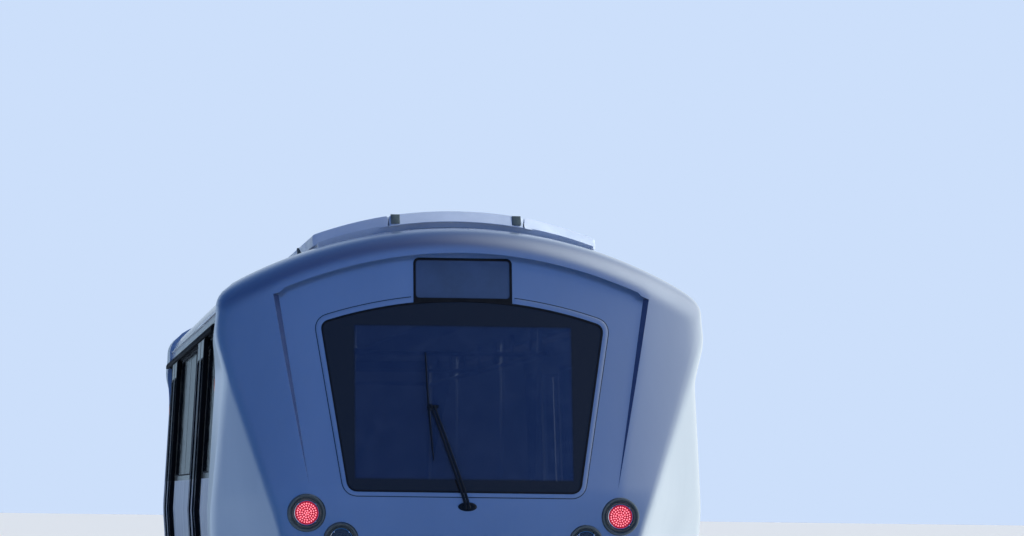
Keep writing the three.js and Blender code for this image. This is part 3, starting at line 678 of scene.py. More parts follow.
@dataclass
class Piece:
    """What a mesh becomes: its name, materials by tone, slot, body, and the CAD nodes that it stands for."""

    name: str
    recipes: Sequence[Recipe]
    slot: Slot
    body: str = CAR
    stands_for: Sequence[str] = ()
    # Width of its edge rounding in metres
    bevel: float = 0.0
    # Angle in degrees over which an edge is shaded as an edge
    sharp: float = 32.0

    def make(self, part: MeshPart, weld: bool = False) -> bpy.types.Object:
        """Turns gathered shapes into an object in the scene.

        Args:
            part: the shapes.
            weld: whether points that lie on each other are joined.

        Returns:
            The object, with its faces pointing out.
        """
        mesh = bpy.data.meshes.new(self.name)
        mesh.from_pydata(part.points, [], part.faces)
        mesh.polygons.foreach_set("material_index", part.tones)
        form = bmesh.new()
        form.from_mesh(mesh)
        if weld:
            bmesh.ops.remove_doubles(form, verts=form.verts, dist=1e-5)
        bmesh.ops.recalc_face_normals(form, faces=form.faces)
        form.to_mesh(mesh)
        form.free()
        return add_object(self.name, mesh)

    def finish(self, thing: bpy.types.Object) -> None:
        """Gives an object its materials, edges, shading and body.

        Args:
            thing: the object.
        """
        materials = thing.data.materials
        for index, recipe in enumerate(self.recipes):
            # A carved mesh already has an empty slot, which the first material fills
            if index < len(materials):
                materials[index] = paint(recipe)
            else:
                materials.append(paint(recipe))
        angle = math.radians(self.sharp)
        if self.bevel > 0:
            edge = thing.modifiers.new("edges", "BEVEL")
            edge.width = self.bevel
            edge.segments = 2
            edge.limit_method = "ANGLE"
            edge.angle_limit = angle
            apply_modifiers(thing)
        mesh = thing.data
        mesh.polygons.foreach_set("use_smooth", [True] * len(mesh.polygons))
        mesh.set_sharp_from_angle(angle=angle)
        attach(thing, self.body)
        if self.stands_for:
            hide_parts(*self.stands_for)
        LOG.info("%s: %d faces, on %s", thing.name, len(mesh.polygons), self.body)

    def build(self, part: MeshPart) -> None:
        """Makes the object and finishes it."""
        self.finish(self.make(part))


def apply_modifiers(thing: bpy.types.Object) -> None:
    """Bakes an object's modifiers into its mesh.

    Args:
        thing: the object.
    """
    graph = bpy.context.evaluated_depsgraph_get()
    baked = bpy.data.meshes.new_from_object(thing.evaluated_get(graph))
    old = thing.data
    thing.modifiers.clear()
    thing.data = baked
    bpy.data.meshes.remove(old)
    baked.name = thing.name


def carve(thing: bpy.types.Object, cutters: Sequence[MeshPart], operation: str = "DIFFERENCE") -> None:
    """Cuts shapes out of an object.

    Args:
        thing: closed mesh that is cut.
        cutters: closed shapes.
        operation: name of the boolean operation.
    """
    tools = [Piece("cutter", (), Slot.TRIM).make(part, weld=True) for part in cutters]
    for tool in tools:
        cut = thing.modifiers.new("cut", "BOOLEAN")
        cut.operation = operation
        cut.solver = "MANIFOLD"
        cut.object = tool
        apply_modifiers(thing)
    for tool in tools:
        bpy.data.objects.remove(tool)


def arc_corners(corners: Sequence[Point], steps: int = 10) -> Outline:
    """Rounds the corners of an outline.

    Args:
        corners: (across, up, radius) of each corner in order.
        steps: steps along each corner.

    Returns:
        Points of the outline.
    """
    points: Outline = []
    for index, (u, v, radius) in enumerate(corners):
        if radius <= 0:
            points.append((u, v))
            continue
        here = Vector((u, v))
        before = (Vector(corners[index - 1][:2]) - here).normalized()
        after = (Vector(corners[(index + 1) % len(corners)][:2]) - here).normalized()
        reach = radius / math.tan(before.angle(after) / 2)
        start, end = here + before * reach, here + after * reach
        for share in np.linspace(0, 1, steps + 1):
            points.append(tuple(start * (1 - share) ** 2 + here * (2 * share * (1 - share)) + end * share**2))
    return points


def rounded_box(low: Pair, high: Pair, radius: float, steps: int = 8) -> Outline:
    """Outline of a rectangle with round corners, anticlockwise.

    Args:
        low: lowest corner.
        high: highest corner.
        radius: radius of the corners.
        steps: steps along a corner.

    Returns:
        Points of the outline.
    """
    (u0, v0), (u1, v1) = low, high
    return arc_corners([(u0, v0, radius), (u1, v0, radius), (u1, v1, radius), (u0, v1, radius)], steps)


def smooth_max(first: np.ndarray, second: np.ndarray, width: np.ndarray | float) -> np.ndarray:
    """Returns the larger of two fields, blended over a width where their surfaces meet."""
    share = np.maximum(width - np.abs(first - second), 0) / width
    return np.maximum(first, second) + share * share * width / 4


def softened(table: Sequence[Pair], value: np.ndarray | float, reach: float) -> np.ndarray:
    """Returns a value between the rows of a table, with the table's bends rounded over a reach."""
    shifts = np.linspace(-reach, reach, 9)
    return sum(np.interp(value + shift, *zip(*table)) for shift in shifts) / len(shifts)


def spaced(outline: Outline, step: float) -> Outline:
    """Adds points to a closed outline so that no side is longer than a step.

    Args:
        outline: points of the outline.
        step: longest side.

    Returns:
        Points of the finer outline.
    """
    points: Outline = []
    for (u, v), (next_u, next_v) in zip(outline, [*outline[1:], outline[0]]):
        run_u, run_v = next_u - u, next_v - v
        parts = max(1, math.ceil(math.hypot(run_u, run_v) / step))
        points += [(u + run_u * part / parts, v + run_v * part / parts) for part in range(parts)]
    return points


def offset(outline: Outline, widths: float | Sequence[float]) -> Outline:
    """Moves the points of a closed, anticlockwise outline outwards.

    Args:
        outline: points of the outline.
        widths: how far all of them move, or each one.

    Returns:
        Points of the moved outline.
    """
    points: Outline = []
    each = np.broadcast_to(widths, len(outline))
    for index, ((u, v), width) in enumerate(zip(outline, each)):
        run_u, run_v = np.subtract(outline[(index + 1) % len(outline)], outline[index - 1])
        share = width / math.hypot(run_u, run_v)
        points.append((u + run_v * share, v - run_u * share))
    return points


def circle(middle: Pair, radius: float, count: int, start: float = 0.0) -> Outline:
    """Returns points spaced evenly round a circle, from a starting angle in radians."""
    angles = [start + 2 * math.pi * step / count for step in range(count)]
    return [(middle[0] + radius * math.cos(t), middle[1] + radius * math.sin(t)) for t in angles]


def coil(centre: Point, radius: float, turns: int, climb: float) -> list[Point]:
    """Points along the centre line of an upright coil spring.

    Args:
        centre: middle of its lowest turn.
        radius: radius of the coil.
        turns: number of turns.
        climb: rise for each radian.

    Returns:
        The points, 14 for each turn.
    """
    x, y, z = centre
    angles = np.linspace(0, 2 * math.pi * turns, 14 * turns)
    return [(x + radius * math.cos(t), y + radius * math.sin(t), z + climb * t) for t in angles]


@dataclass(frozen=True)
class End:
    """One end of the car: its name, and 1 for the front or -1 for the rear."""

    name: str
    way: int

    def turned(self, part: MeshPart) -> MeshPart:
        """Returns a part modelled for the front end in its place at this end."""
        return part if self.way > 0 else part.moved(Matrix.Rotation(math.pi, 4, "Z"))


@dataclass(frozen=True)
class Side:
    """One side of the car: its name, and 1 for the left or -1 for the right."""

    name: str
    way: int


ENDS = (End("front", 1), End("rear", -1))
SIDES = (Side("left", 1), Side("right", -1))


class Assembly:
    """A sub-assembly of the car. Its pieces have names with one ending, and share a body and a place."""

    suffix = ""
    body = CAR

    def place(self, part: MeshPart) -> MeshPart:
        """Returns a part in its place in the car."""
        return part

    def piece(self, name: str, recipes: Sequence[Recipe], slot: Slot, node: str = "", **look: float) -> Piece:
        """Describes one piece.

        Args:
            name: its name, without the ending.
            recipes: its materials by tone.
            slot: its slot.
            node: CAD node that it stands for, if any, without the ending.
            look: width of its bevel, and angle over which an edge is sharp.

        Returns:
            The piece.
        """
        nodes = (f"{node}_{self.suffix}",) if node else ()
        return Piece(f"{name}_{self.suffix}", recipes, slot, self.body, nodes, **look)

    def build(self, part: MeshPart, *description: str | Slot | Sequence[Recipe], **look: float) -> None:
        """Builds a part as one piece, described as for the method above."""
        self.piece(*description, **look).build(self.place(part))


@dataclass(frozen=True)
class EndAssembly(Assembly):
    """A sub-assembly that is modelled for the front end and stands at either end."""

    end: End

    @property
    def suffix(self) -> str:
        """Ending of its names."""
        return self.end.name

    def place(self, part: MeshPart) -> MeshPart:
        """Returns a part in its place at this end."""
        return self.end.turned(part)


# Ends of the car


@dataclass(frozen=True)
class CapForm:
    """Outer form of an end cap, in metres, modelled for the front end."""

    # Foremost point, plane where the cap meets the car body, and lower edge
    nose_x: float = NOSE_X
    rear_x: float = 7.2
    bottom_z: float = 0.85
    # Radius of the face in plan, and its set-back for each metre of height
    plan_radius: float = 3.6
    rake: float = math.tan(math.radians(20))
    # Highest point, radius across the car, and height over which the face turns into the roof
    crown_z: float = 3.68
    crown_radius: float = 3.0
    brow_rise: float = 0.18
    shoulder_y: float = 1.59
    shoulder_radius: float = 0.17
    # Set-back of the side facet for each metre of half width
    facet_slope: float = 1.7
    skin: float = 0.05
    # Recessed panel: half width and height of its lower and upper corner, arched top and radius of the arch
    recess_low: Pair = (0.984, 1.985)
    recess_high: Pair = (1.178, 3.215)
    brow_z: float = 3.495
    brow_radius: float = 2.75
    # Depth of the panel at the arch, and width of its edge wall for each metre of depth
    recess_depth: float = 0.045
    wall_slant: float = 1.2
    # Extra set-back of the face outside the panel for each metre across
    fold: float = 0.12
    # Where the solids that cut its openings start, and their length
    cut_x: float = 7.5
    cut_length: float = 1.3

    # Set-back of the face by height, crease and cap side half widths by height
    FACE = (
        (0.65, 0.305), (0.85, 0.235), (1.15, 0.13), (1.45, 0.062), (1.7, 0.022), (1.85, 0.004), (1.935, 0.0),
    )
    CREASE = ((0.7, 1.045), (1.2, 1.075), (1.45, 1.1), (1.7, 1.155), (2.88, 1.555), (3.1, 1.64), (3.8, 1.7))
    SIDE = (
        (0.65, 1.52), (0.85, 1.531), (1.81, 1.603), (2.68, 1.56), (2.82, 1.567), (2.98, 1.588), (3.9, 1.59),
    )

    def set_back(self, z: np.ndarray | float) -> np.ndarray:
        """Returns how far the face lies behind its foremost point, by height."""
        top = 3.9
        return softened((*self.FACE, (top, (top - self.FACE[-1][0]) * self.rake)), z, 0.05)

    def crown_at(self, y: np.ndarray | float) -> np.ndarray:
        """Returns the height of the crown, by distance from the centre line."""
        return self.crown_z - self.crown_radius + np.sqrt(np.maximum(self.crown_radius**2 - y**2, 0))

    def front_at(self, y: np.ndarray | float, z: np.ndarray | float) -> np.ndarray:
        """X of the face without its facets.

        Args:
            y: places across the car.
            z: heights.

        Returns:
            The places along the car.
        """
        # Outside the recessed panel the face folds back more, and the fold fades out below the panel
        (low_y, low_z), (high_y, high_z) = self.recess_low, self.recess_high
        panel_y = low_y + (high_y - low_y) * (z - low_z) / (high_z - low_z)
        fold = self.fold * np.clip((z - 1.5) / 0.45, 0, 1) * np.maximum(np.abs(y) - panel_y - 0.02, 0)
        return self.nose_x - self.set_back(z) - y**2 / (2 * self.plan_radius) - fold

    def recess_at(self, z: np.ndarray | float) -> np.ndarray:
        """Returns the depth of the recessed panel, by height."""
        share = np.clip((z - self.recess_low[1]) / (self.brow_z - self.recess_low[1]), 0, 1)
        return self.recess_depth * (1 - (1 - share) ** 1.6)

    def panel_point(self, y: float, z: float, proud: float = 0.0) -> Point:
        """Returns a point on the recessed panel, or proud of it."""
        return (float(self.front_at(y, z) - self.recess_at(z)) + proud, float(y), float(z))

    def nose_field(self, x: np.ndarray, y: np.ndarray, z: np.ndarray) -> np.ndarray:
        """Distance in front of the face and roof, without the facets.

        Args:
            x: places along the car.
            y: places across it.
            z: heights.

        Returns:
            The distances, negative inside the cap.
        """
        crown = self.crown_at(y)
        turn = crown - self.brow_rise
        start = self.front_at(y, np.minimum(z, turn))
        share = 1 - np.sqrt(np.clip((crown - z) / self.brow_rise, 0, 1))
        control = start - self.brow_rise * self.rake
        brow = (1 - share) ** 2 * start + 2 * share * (1 - share) * control + share**2 * self.rear_x
        return x - np.where(z > turn, brow, start) + 5 * np.maximum(z - crown, 0)

    def field(self, x: np.ndarray, y: np.ndarray, z: np.ndarray) -> np.ndarray:
        """Distance outside the cap, with its creases rounded as the real ones are.

        Args:
            x: places along the car.
            y: places across it.
            z: heights.

        Returns:
            The distances, negative inside the cap.
        """
        crease = softened(self.CREASE, z, 0.12)
        across = np.abs(y)
        facet = x - self.front_at(crease, z) + self.facet_slope * (across - crease)
        facet /= math.hypot(1, self.facet_slope)
        arc_y = self.shoulder_y - self.shoulder_radius
        centre_z = self.crown_z - self.crown_radius
        arc_z = centre_z + math.sqrt((self.crown_radius - self.shoulder_radius) ** 2 - arc_y**2)
        arc_end = arc_z + self.shoulder_radius * math.sin(math.atan2(arc_z - centre_z, arc_y))
        lift = np.clip(z - arc_z, 0, arc_end - arc_z)
        arc = arc_y + np.sqrt(self.shoulder_radius**2 - lift**2)
        over = np.sqrt(np.maximum(self.crown_radius**2 - (z - centre_z) ** 2, 0)) + (z - arc_end)
        width = np.where(z < arc_z, softened(self.SIDE, z, 0.08), np.where(z < arc_end, arc, over))
        # The flank narrows forwards. The shoulder above it widens forwards, up to its pivot
        taper = np.interp(z, (0.9, 1.8, 2.68, 2.9, 3.06), (0.0, 0.03, 0.07, 0.0, -0.035))
        pivot = np.interp(z, (2.85, 3.05), (self.rear_x, 8.0))
        side = across - width + taper * (x - pivot)
        # Creases are tight beside the face and softer at the shoulder
        tight = np.interp(z, (1.2, 2.0, 2.85, 3.1), (0.02, 0.02, 0.03, 0.1))
        soft = np.interp(z, (2.75, 3.0), (0.03, 0.05))
        return smooth_max(smooth_max(self.nose_field(x, y, z), facet, tight), side, soft)

    def surface(self, inset: float, heights: np.ndarray, columns: int) -> np.ndarray:
        """Points of the cap's surface, in rows of equal height.

        Args:
            inset: how far inside the outer surface it runs.
            heights: height of each row.
            columns: points in a row.

        Returns:
            Array of rows, columns and three coordinates.
        """
        # Points are spread by angle round the middle of the cap's rear, up to the crease and beyond it
        crease = softened(self.CREASE, heights, 0.12)
        reach = np.maximum(self.front_at(crease, heights) - self.rear_x, 0.05)
        turn = np.clip(np.degrees(np.arctan2(crease, reach)), 45, 72)[:, None]
        share = np.linspace(-1, 1, columns)[None, :]
        bend = 0.62
        inner = turn * np.minimum(np.abs(share), bend) / bend
        outer = (90 - turn) * np.maximum(np.abs(share) - bend, 0) / (1 - bend)
        angle = np.radians(np.sign(share) * (inner + outer))
        z = np.broadcast_to(heights[:, None], angle.shape)
        near = np.zeros(angle.shape)
        far = np.full(angle.shape, 2.2)
        for _ in range(36):
            middle = (near + far) / 2
            outside = self.field(self.rear_x + middle * np.cos(angle), middle * np.sin(angle), z) > -inset
            far = np.where(outside, middle, far)
            near = np.where(outside, near, middle)
        return np.stack([self.rear_x + near * np.cos(angle), near * np.sin(angle), z], axis=-1)

    def shell(self) -> MeshPart:
        """Hollow skin of the cap, open at the bottom and at the rear. Its inner face has tone 1.

        Returns:
            The shape, with its seams to be welded.
        """
        columns, side_rows, top_rows = 161, 64, 36
        shoulder = 3.0
        layers = []
        for inset in (0.0, self.skin):
            top = self.crown_z - inset
            lower = np.linspace(self.bottom_z, shoulder, side_rows)
            upper = top - (top - shoulder) * np.linspace(1, 0.03, top_rows)[1:] ** 2
            rows = self.surface(inset, np.concatenate([lower, upper]), columns).tolist()
            # Above the last row the skin runs together in one point
            layers.append([*rows, [(self.rear_x, 0.0, top)] * columns])
        part = MeshPart()
        part.slab(*layers, (0, 1, 0, 0))
        return part

    def recess_cutter(self) -> MeshPart:
        """Solid that leaves the recessed panel, with its slanted edge walls.

        Returns:
            The shape, with its seams to be welded.
        """
        (low_y, low_z), (high_y, high_z) = self.recess_low, self.recess_high
        corner_y = high_y * 0.97
        corner_z = self.brow_z - corner_y**2 / (2 * self.brow_radius)
        arch = self.brow_z - (self.brow_z - corner_z) * np.linspace(1, 0.004, 26) ** 2
        heights = np.concatenate([np.linspace(low_z, high_z, 40), arch])
        widths = np.interp(heights, (low_z, high_z, corner_z), (low_y, high_y, corner_y))
        arch_width = np.sqrt(np.maximum(2 * self.brow_radius * (self.brow_z - heights), 0))
        widths = np.where(heights < corner_z - 1e-6, widths, np.minimum(widths, arch_width))
        layers = []
        for reach in (0.0, 0.12):
            rows = []
            for z, width in zip(heights, widths):
                # Only the sides slant: under the arch the wall runs straight back
                grown = reach * self.wall_slant * float(np.clip((corner_z - z) / (corner_z - high_z), 0, 1))
                ends = np.linspace(-1, 1, 41) * (width + grown)
                base = self.front_at(ends * width / (width + grown), z) - self.recess_at(z) + reach
                rows.append([(x, y, z) for x, y in zip(base, ends)])
            layers.append(rows)
        part = MeshPart()
        part.slab(*layers)
        return part

    def opening(self, outline: Outline) -> MeshPart:
        """Solid that carries an outline through the face.

        Args:
            outline: points as (y, z).

        Returns:
            The solid.
        """
        part = MeshPart()
        part.prism([(self.cut_x, y, z) for y, z in outline], (self.cut_length, 0.0, 0.0))
        return part

    def face_ring(
        self, inner: Outline, outer: Outline, proud: float, part: MeshPart, tone: int = 0, closed: bool = True
    ) -> None:
        """Adds a flat band that lies on the recessed panel.

        Args:
            inner: its inner edge, as (y, z).
            outer: its outer edge, with as many points.
            proud: its thickness.
            part: mesh that takes it.
            tone: its tone.
            closed: whether it goes all the way round.
        """
        sunk = -0.002
        near, far = ([self.panel_point(y, z, sunk) for y, z in line] for line in (inner, outer))
        part.ring(near, far, (proud - sunk, 0.0, 0.0), tone, closed)


@dataclass(frozen=True)
class Windscreen(EndAssembly):
    """Windscreen with its frame, on the recessed panel of a cap."""

    cap: CapForm
    # Half width and height of the lower and the upper corner
    bottom: Pair = (0.737, 1.958)
    corner: Pair = (0.908, 3.052)
    arch_z: float = 3.183
    arch_radius: float = 2.75
    thick: float = 0.012
    # Width of the silver frame at the bottom and at the top, and of the dark joint outside it
    frame_low: float = 0.032
    frame_high: float = 0.04
    seam: float = 0.006
    # Half width of the sign's seal, which cuts into the frame's top
    sign_half: float = 0.318

    def arch_at(self, y: float) -> float:
        """Returns the height of the arched top, by distance from the centre line."""
        return self.arch_z - y * y / (2 * self.arch_radius)

    def outline(self, grow: float) -> Outline:
        """Outline of the pane from the front.

        Args:
            grow: how far it is grown outwards.

        Returns:
            Points as (y, z).
        """
        (low_y, low_z), (high_y, _) = self.bottom, self.corner
        low, high = low_z - grow, self.arch_at(high_y) + grow
        arch = [(y, self.arch_at(y) + grow, 0.0) for y in high_y * np.linspace(0.85, -0.85, 23)]
        corners = [(low_y + grow, low, 0.07), (high_y + grow, high, 0.06), *arch]
        return arc_corners([*corners, (-high_y - grow, high, 0.06), (-low_y - grow, low, 0.07)])

    def make(self) -> None:
        """Builds the pane, cut out of a block that follows the panel, and its frame."""
        front = [
            [self.cap.panel_point(y, z, 0.001) for y in np.linspace(-0.96, 0.96, 49)]
            for z in np.linspace(1.9, 3.22, 45)
        ]
        block = MeshPart()
        block.slab(front, [[(x - self.thick, y, z) for x, y, z in row] for row in front])
        piece = self.piece("windscreen_pane", (WINDSCREEN_GLASS,), Slot.GLASS, "windscreen")
        pane = piece.make(self.place(block), weld=True)
        carve(pane, [self.place(self.cap.opening(self.outline(0.0)))], "INTERSECT")
        piece.finish(pane)
        self.make_frame()

    def make_frame(self) -> None:
        """Builds the silver frame round the pane, open under the sign, and the dark joints beside it."""
        inside = spaced(self.outline(0.0), 0.012)
        rise = self.arch_z - self.bottom[1]
        shares = [min(1.0, max(0.0, (z - self.bottom[1]) / rise)) for _, z in inside]
        widths = [self.frame_low + (self.frame_high - self.frame_low) * share for share in shares]
        lines = (inside, offset(inside, widths), offset(inside, [width + self.seam for width in widths]))
        count = len(inside)
        keep = [abs(y) >= self.sign_half or z <= self.bottom[1] + rise / 2 for y, z in inside]
        start = next(index for index in range(count) if keep[index] and not keep[index - 1])
        order = [(start + step) % count for step in range(count) if keep[(start + step) % count]]
        edge, outer, joint = ([line[index] for index in order] for line in lines)
        frame, seals = MeshPart(), MeshPart()
        self.cap.face_ring(edge, outer, 0.004, frame, closed=False)
        self.build(frame, "windscreen_frame", (BODY_PAINT,), Slot.BODY, bevel=0.0012)
        self.cap.face_ring(outer, joint, 0.0015, seals, 1, closed=False)
        self.cap.face_ring(offset(inside, -0.004), offset(inside, 0.006), 0.0055, seals)
        self.build(seals, "windscreen_seals", (RUBBER, SEALANT), Slot.SEAL)


@dataclass(frozen=True)
class Lamp:
    """One round lamp of an end: its place, bezel radius, and whether it is a lit cluster of red diodes."""

    y: float
    z: float
    radius: float
    lit: bool

    # Distance of each ring of diodes from the middle, as a share of the lens, and diodes in it
    RINGS = ((0.0, 1), (0.2, 6), (0.4, 12), (0.6, 18), (0.8, 24))
    # Outer part of the bezel, as (distance in front of its seat, distance inside its edge)
    BEZEL = (
        (-0.24, 0.0), (-0.008, 0.0), (-0.003, 0.002), (0.001, 0.006), (0.002, 0.01), (0.001, 0.015),
        (-0.005, 0.018), (-0.011, 0.02), (-0.011, 0.024), (-0.004, 0.027), (-0.001, 0.031),
    )
    SCREW = ((-0.005, 0.005), (0.004, 0.005), (0.0055, 0.003), (0.0055, 0.0005))
    DIODE = ((-0.002, 0.0055), (0.0015, 0.0048), (0.003, 0.001))

    def build(self, part: MeshPart, cap: CapForm, side: int) -> None:
        """Adds the lamp: can, stepped bezel, chrome rim, lens, screws and diodes.

        Args:
            part: mesh that takes it.
            cap: form of the cap that it stands in.
            side: 1 for +Y and -1 for -Y.
        """
        r = self.radius
        proud = 0.014
        back = float(cap.set_back(self.z)) + (self.y - r / 2) ** 2 / (2 * cap.plan_radius)
        face = cap.nose_x - back + proud
        middle = (side * self.y, self.z)
        centre = (face, *middle)
        lens = 0.62 * r
        bezel = [
            *[(out, r - inward) for out, inward in self.BEZEL],
            (-0.003, lens + 0.012), (-0.014, lens + 0.006), (-0.024, lens + 0.004), (-0.024, 0.3 * r),
        ]
        rim = [(-0.016, 0.007), (-0.007, 0.007), (-0.005, 0.004), (-0.007, 0.001), (-0.016, 0.001)]
        turns = np.linspace(math.pi / 2, 0.06, 7)
        bulge = [(8 * MM * math.cos(t) - 0.012, (lens + 0.002) * math.sin(t)) for t in turns]
        dome = [(-0.02, lens + 0.003), *bulge]
        part.turned(bezel, centre, AHEAD, 64, 0)
        part.turned([(out, lens + wide) for out, wide in rim], centre, AHEAD, 64, 1)
        part.turned(dome, centre, AHEAD, 48, 2)
        for y, z in circle(middle, r - 0.042, 4, math.pi / 4):
            part.turned(self.SCREW, (face - 0.002, y, z), AHEAD, 10, 1)
        for share, count in self.RINGS if self.lit else ():
            x = face - 0.012 + 8 * MM * math.sqrt(1 - share**2)
            for y, z in circle(middle, lens * share, count, share):
                part.turned(self.DIODE, (x, y, z), AHEAD, 8, 3)


@dataclass(frozen=True)
class Wiper(EndAssembly):
    """Wiper with two parallel arms and one blade, parked upright."""

    cap: CapForm
    # Spindle housing, and lower and upper end of the blade, as (y, z)
    foot: Pair = (0.015, 1.864)
    low: Pair = (-0.199, 2.159)
    high: Pair = (-0.245, 2.85)
    # Distance between the arms, and how far the blade bows
    spacing: float = 0.021
    bow: float = 0.006

    # Stations of an arm and of the link: y, z, distance in front of the panel, half width, half depth
    ARM = (
        (0.004, 1.862, 0.036, 0.0095, 0.006), (-0.008, 1.905, 0.036, 0.0092, 0.0055),
        (-0.03, 1.975, 0.034, 0.0088, 0.005), (-0.096, 2.168, 0.031, 0.0082, 0.0045),
        (-0.168, 2.375, 0.028, 0.0076, 0.004), (-0.212, 2.5, 0.026, 0.007, 0.0035),
    )
    LINK = ((-0.222, 2.487, 0.018, 0.016, 0.007), (-0.222, 2.515, 0.018, 0.016, 0.007))
    # Lowest, middle and highest Y of the bridge between the arms' tips
    BRIDGE_Y = (-0.24, -0.19, -0.165)
    PIVOT = ((0.02, 0.013), (0.045, 0.013), (0.049, 0.009), (0.049, 0.001))
    TIP = ((0.0, 0.009), (0.02, 0.009), (0.023, 0.005))

    def bar(self, part: MeshPart, stations: Sequence[Sequence[float]], tone: int = 0) -> None:
        """Adds a tapered bar of rounded rectangular section.

        Args:
            part: mesh that takes it.
            stations: y, z, distance in front of the panel, half width and half depth of each station.
            tone: its tone.
        """
        round_section = circle((0.0, 0.0), 1.0, 12)
        corners = [[math.copysign(abs(v) ** 0.6, v) for v in corner] for corner in round_section]
        rows = []
        for y, z, ahead, wide, deep in stations:
            x = self.cap.panel_point(y, z, ahead)[0]
            rows.append([(x + deep * v, y + wide * u, z) for u, v in corners])
        part.loft(rows, tone)

    def make(self) -> None:
        """Builds the housing, the two arms, the link between them, the blade and its rubber."""
        part = MeshPart()
        y0, z0 = self.foot
        base = self.cap.panel_point(y0, z0)[0]
        oval = [(u, v * 0.029 / 0.06) for u, v in circle((0.0, 0.0), 0.06, 40)]
        housing = ((-0.002, 1.0), (0.012, 1.0), (0.02, 0.94), (0.025, 0.8))
        part.loft([[(base + out, y0 + u * scale, z0 + v * scale) for u, v in oval] for out, scale in housing])
        pivot_z = self.ARM[0][1]
        tip_y, tip_z, *_ = self.ARM[-1]
        for shift in (0.0, self.spacing):
            self.bar(part, [(y + shift, *rest) for y, *rest in self.ARM])
            part.turned(self.PIVOT, self.cap.panel_point(shift, pivot_z), AHEAD, 20)
            part.turned(self.TIP, self.cap.panel_point(tip_y + shift, tip_z, 0.012), AHEAD, 16)
        self.bar(part, self.LINK)
        low_y, middle_y, high_y = self.BRIDGE_Y
        x0 = self.cap.panel_point(middle_y, tip_z, 0.016)[0]
        part.box((x0 - 0.006, low_y, tip_z - 0.01), (x0 + 0.006, high_y, tip_z + 0.01))
        blade = []
        for share in np.linspace(0, 1, 21):
            y, z = (low + (high - low) * share for low, high in zip(self.low, self.high))
            bulge = math.sin(math.pi * share)
            ends = 0.35 + 0.65 * bulge**0.35
            blade.append((y - self.bow * bulge, z, 0.013, 0.0055 * ends, 0.006 * ends))
        self.bar(part, blade)
        self.bar(part, [(y, z, 0.005, 0.0022, 0.005) for y, z, *_ in blade], 1)
        self.build(part, "wiper_blade_and_arms", (BLACK_STEEL, RUBBER), Slot.TRIM, "wiper")


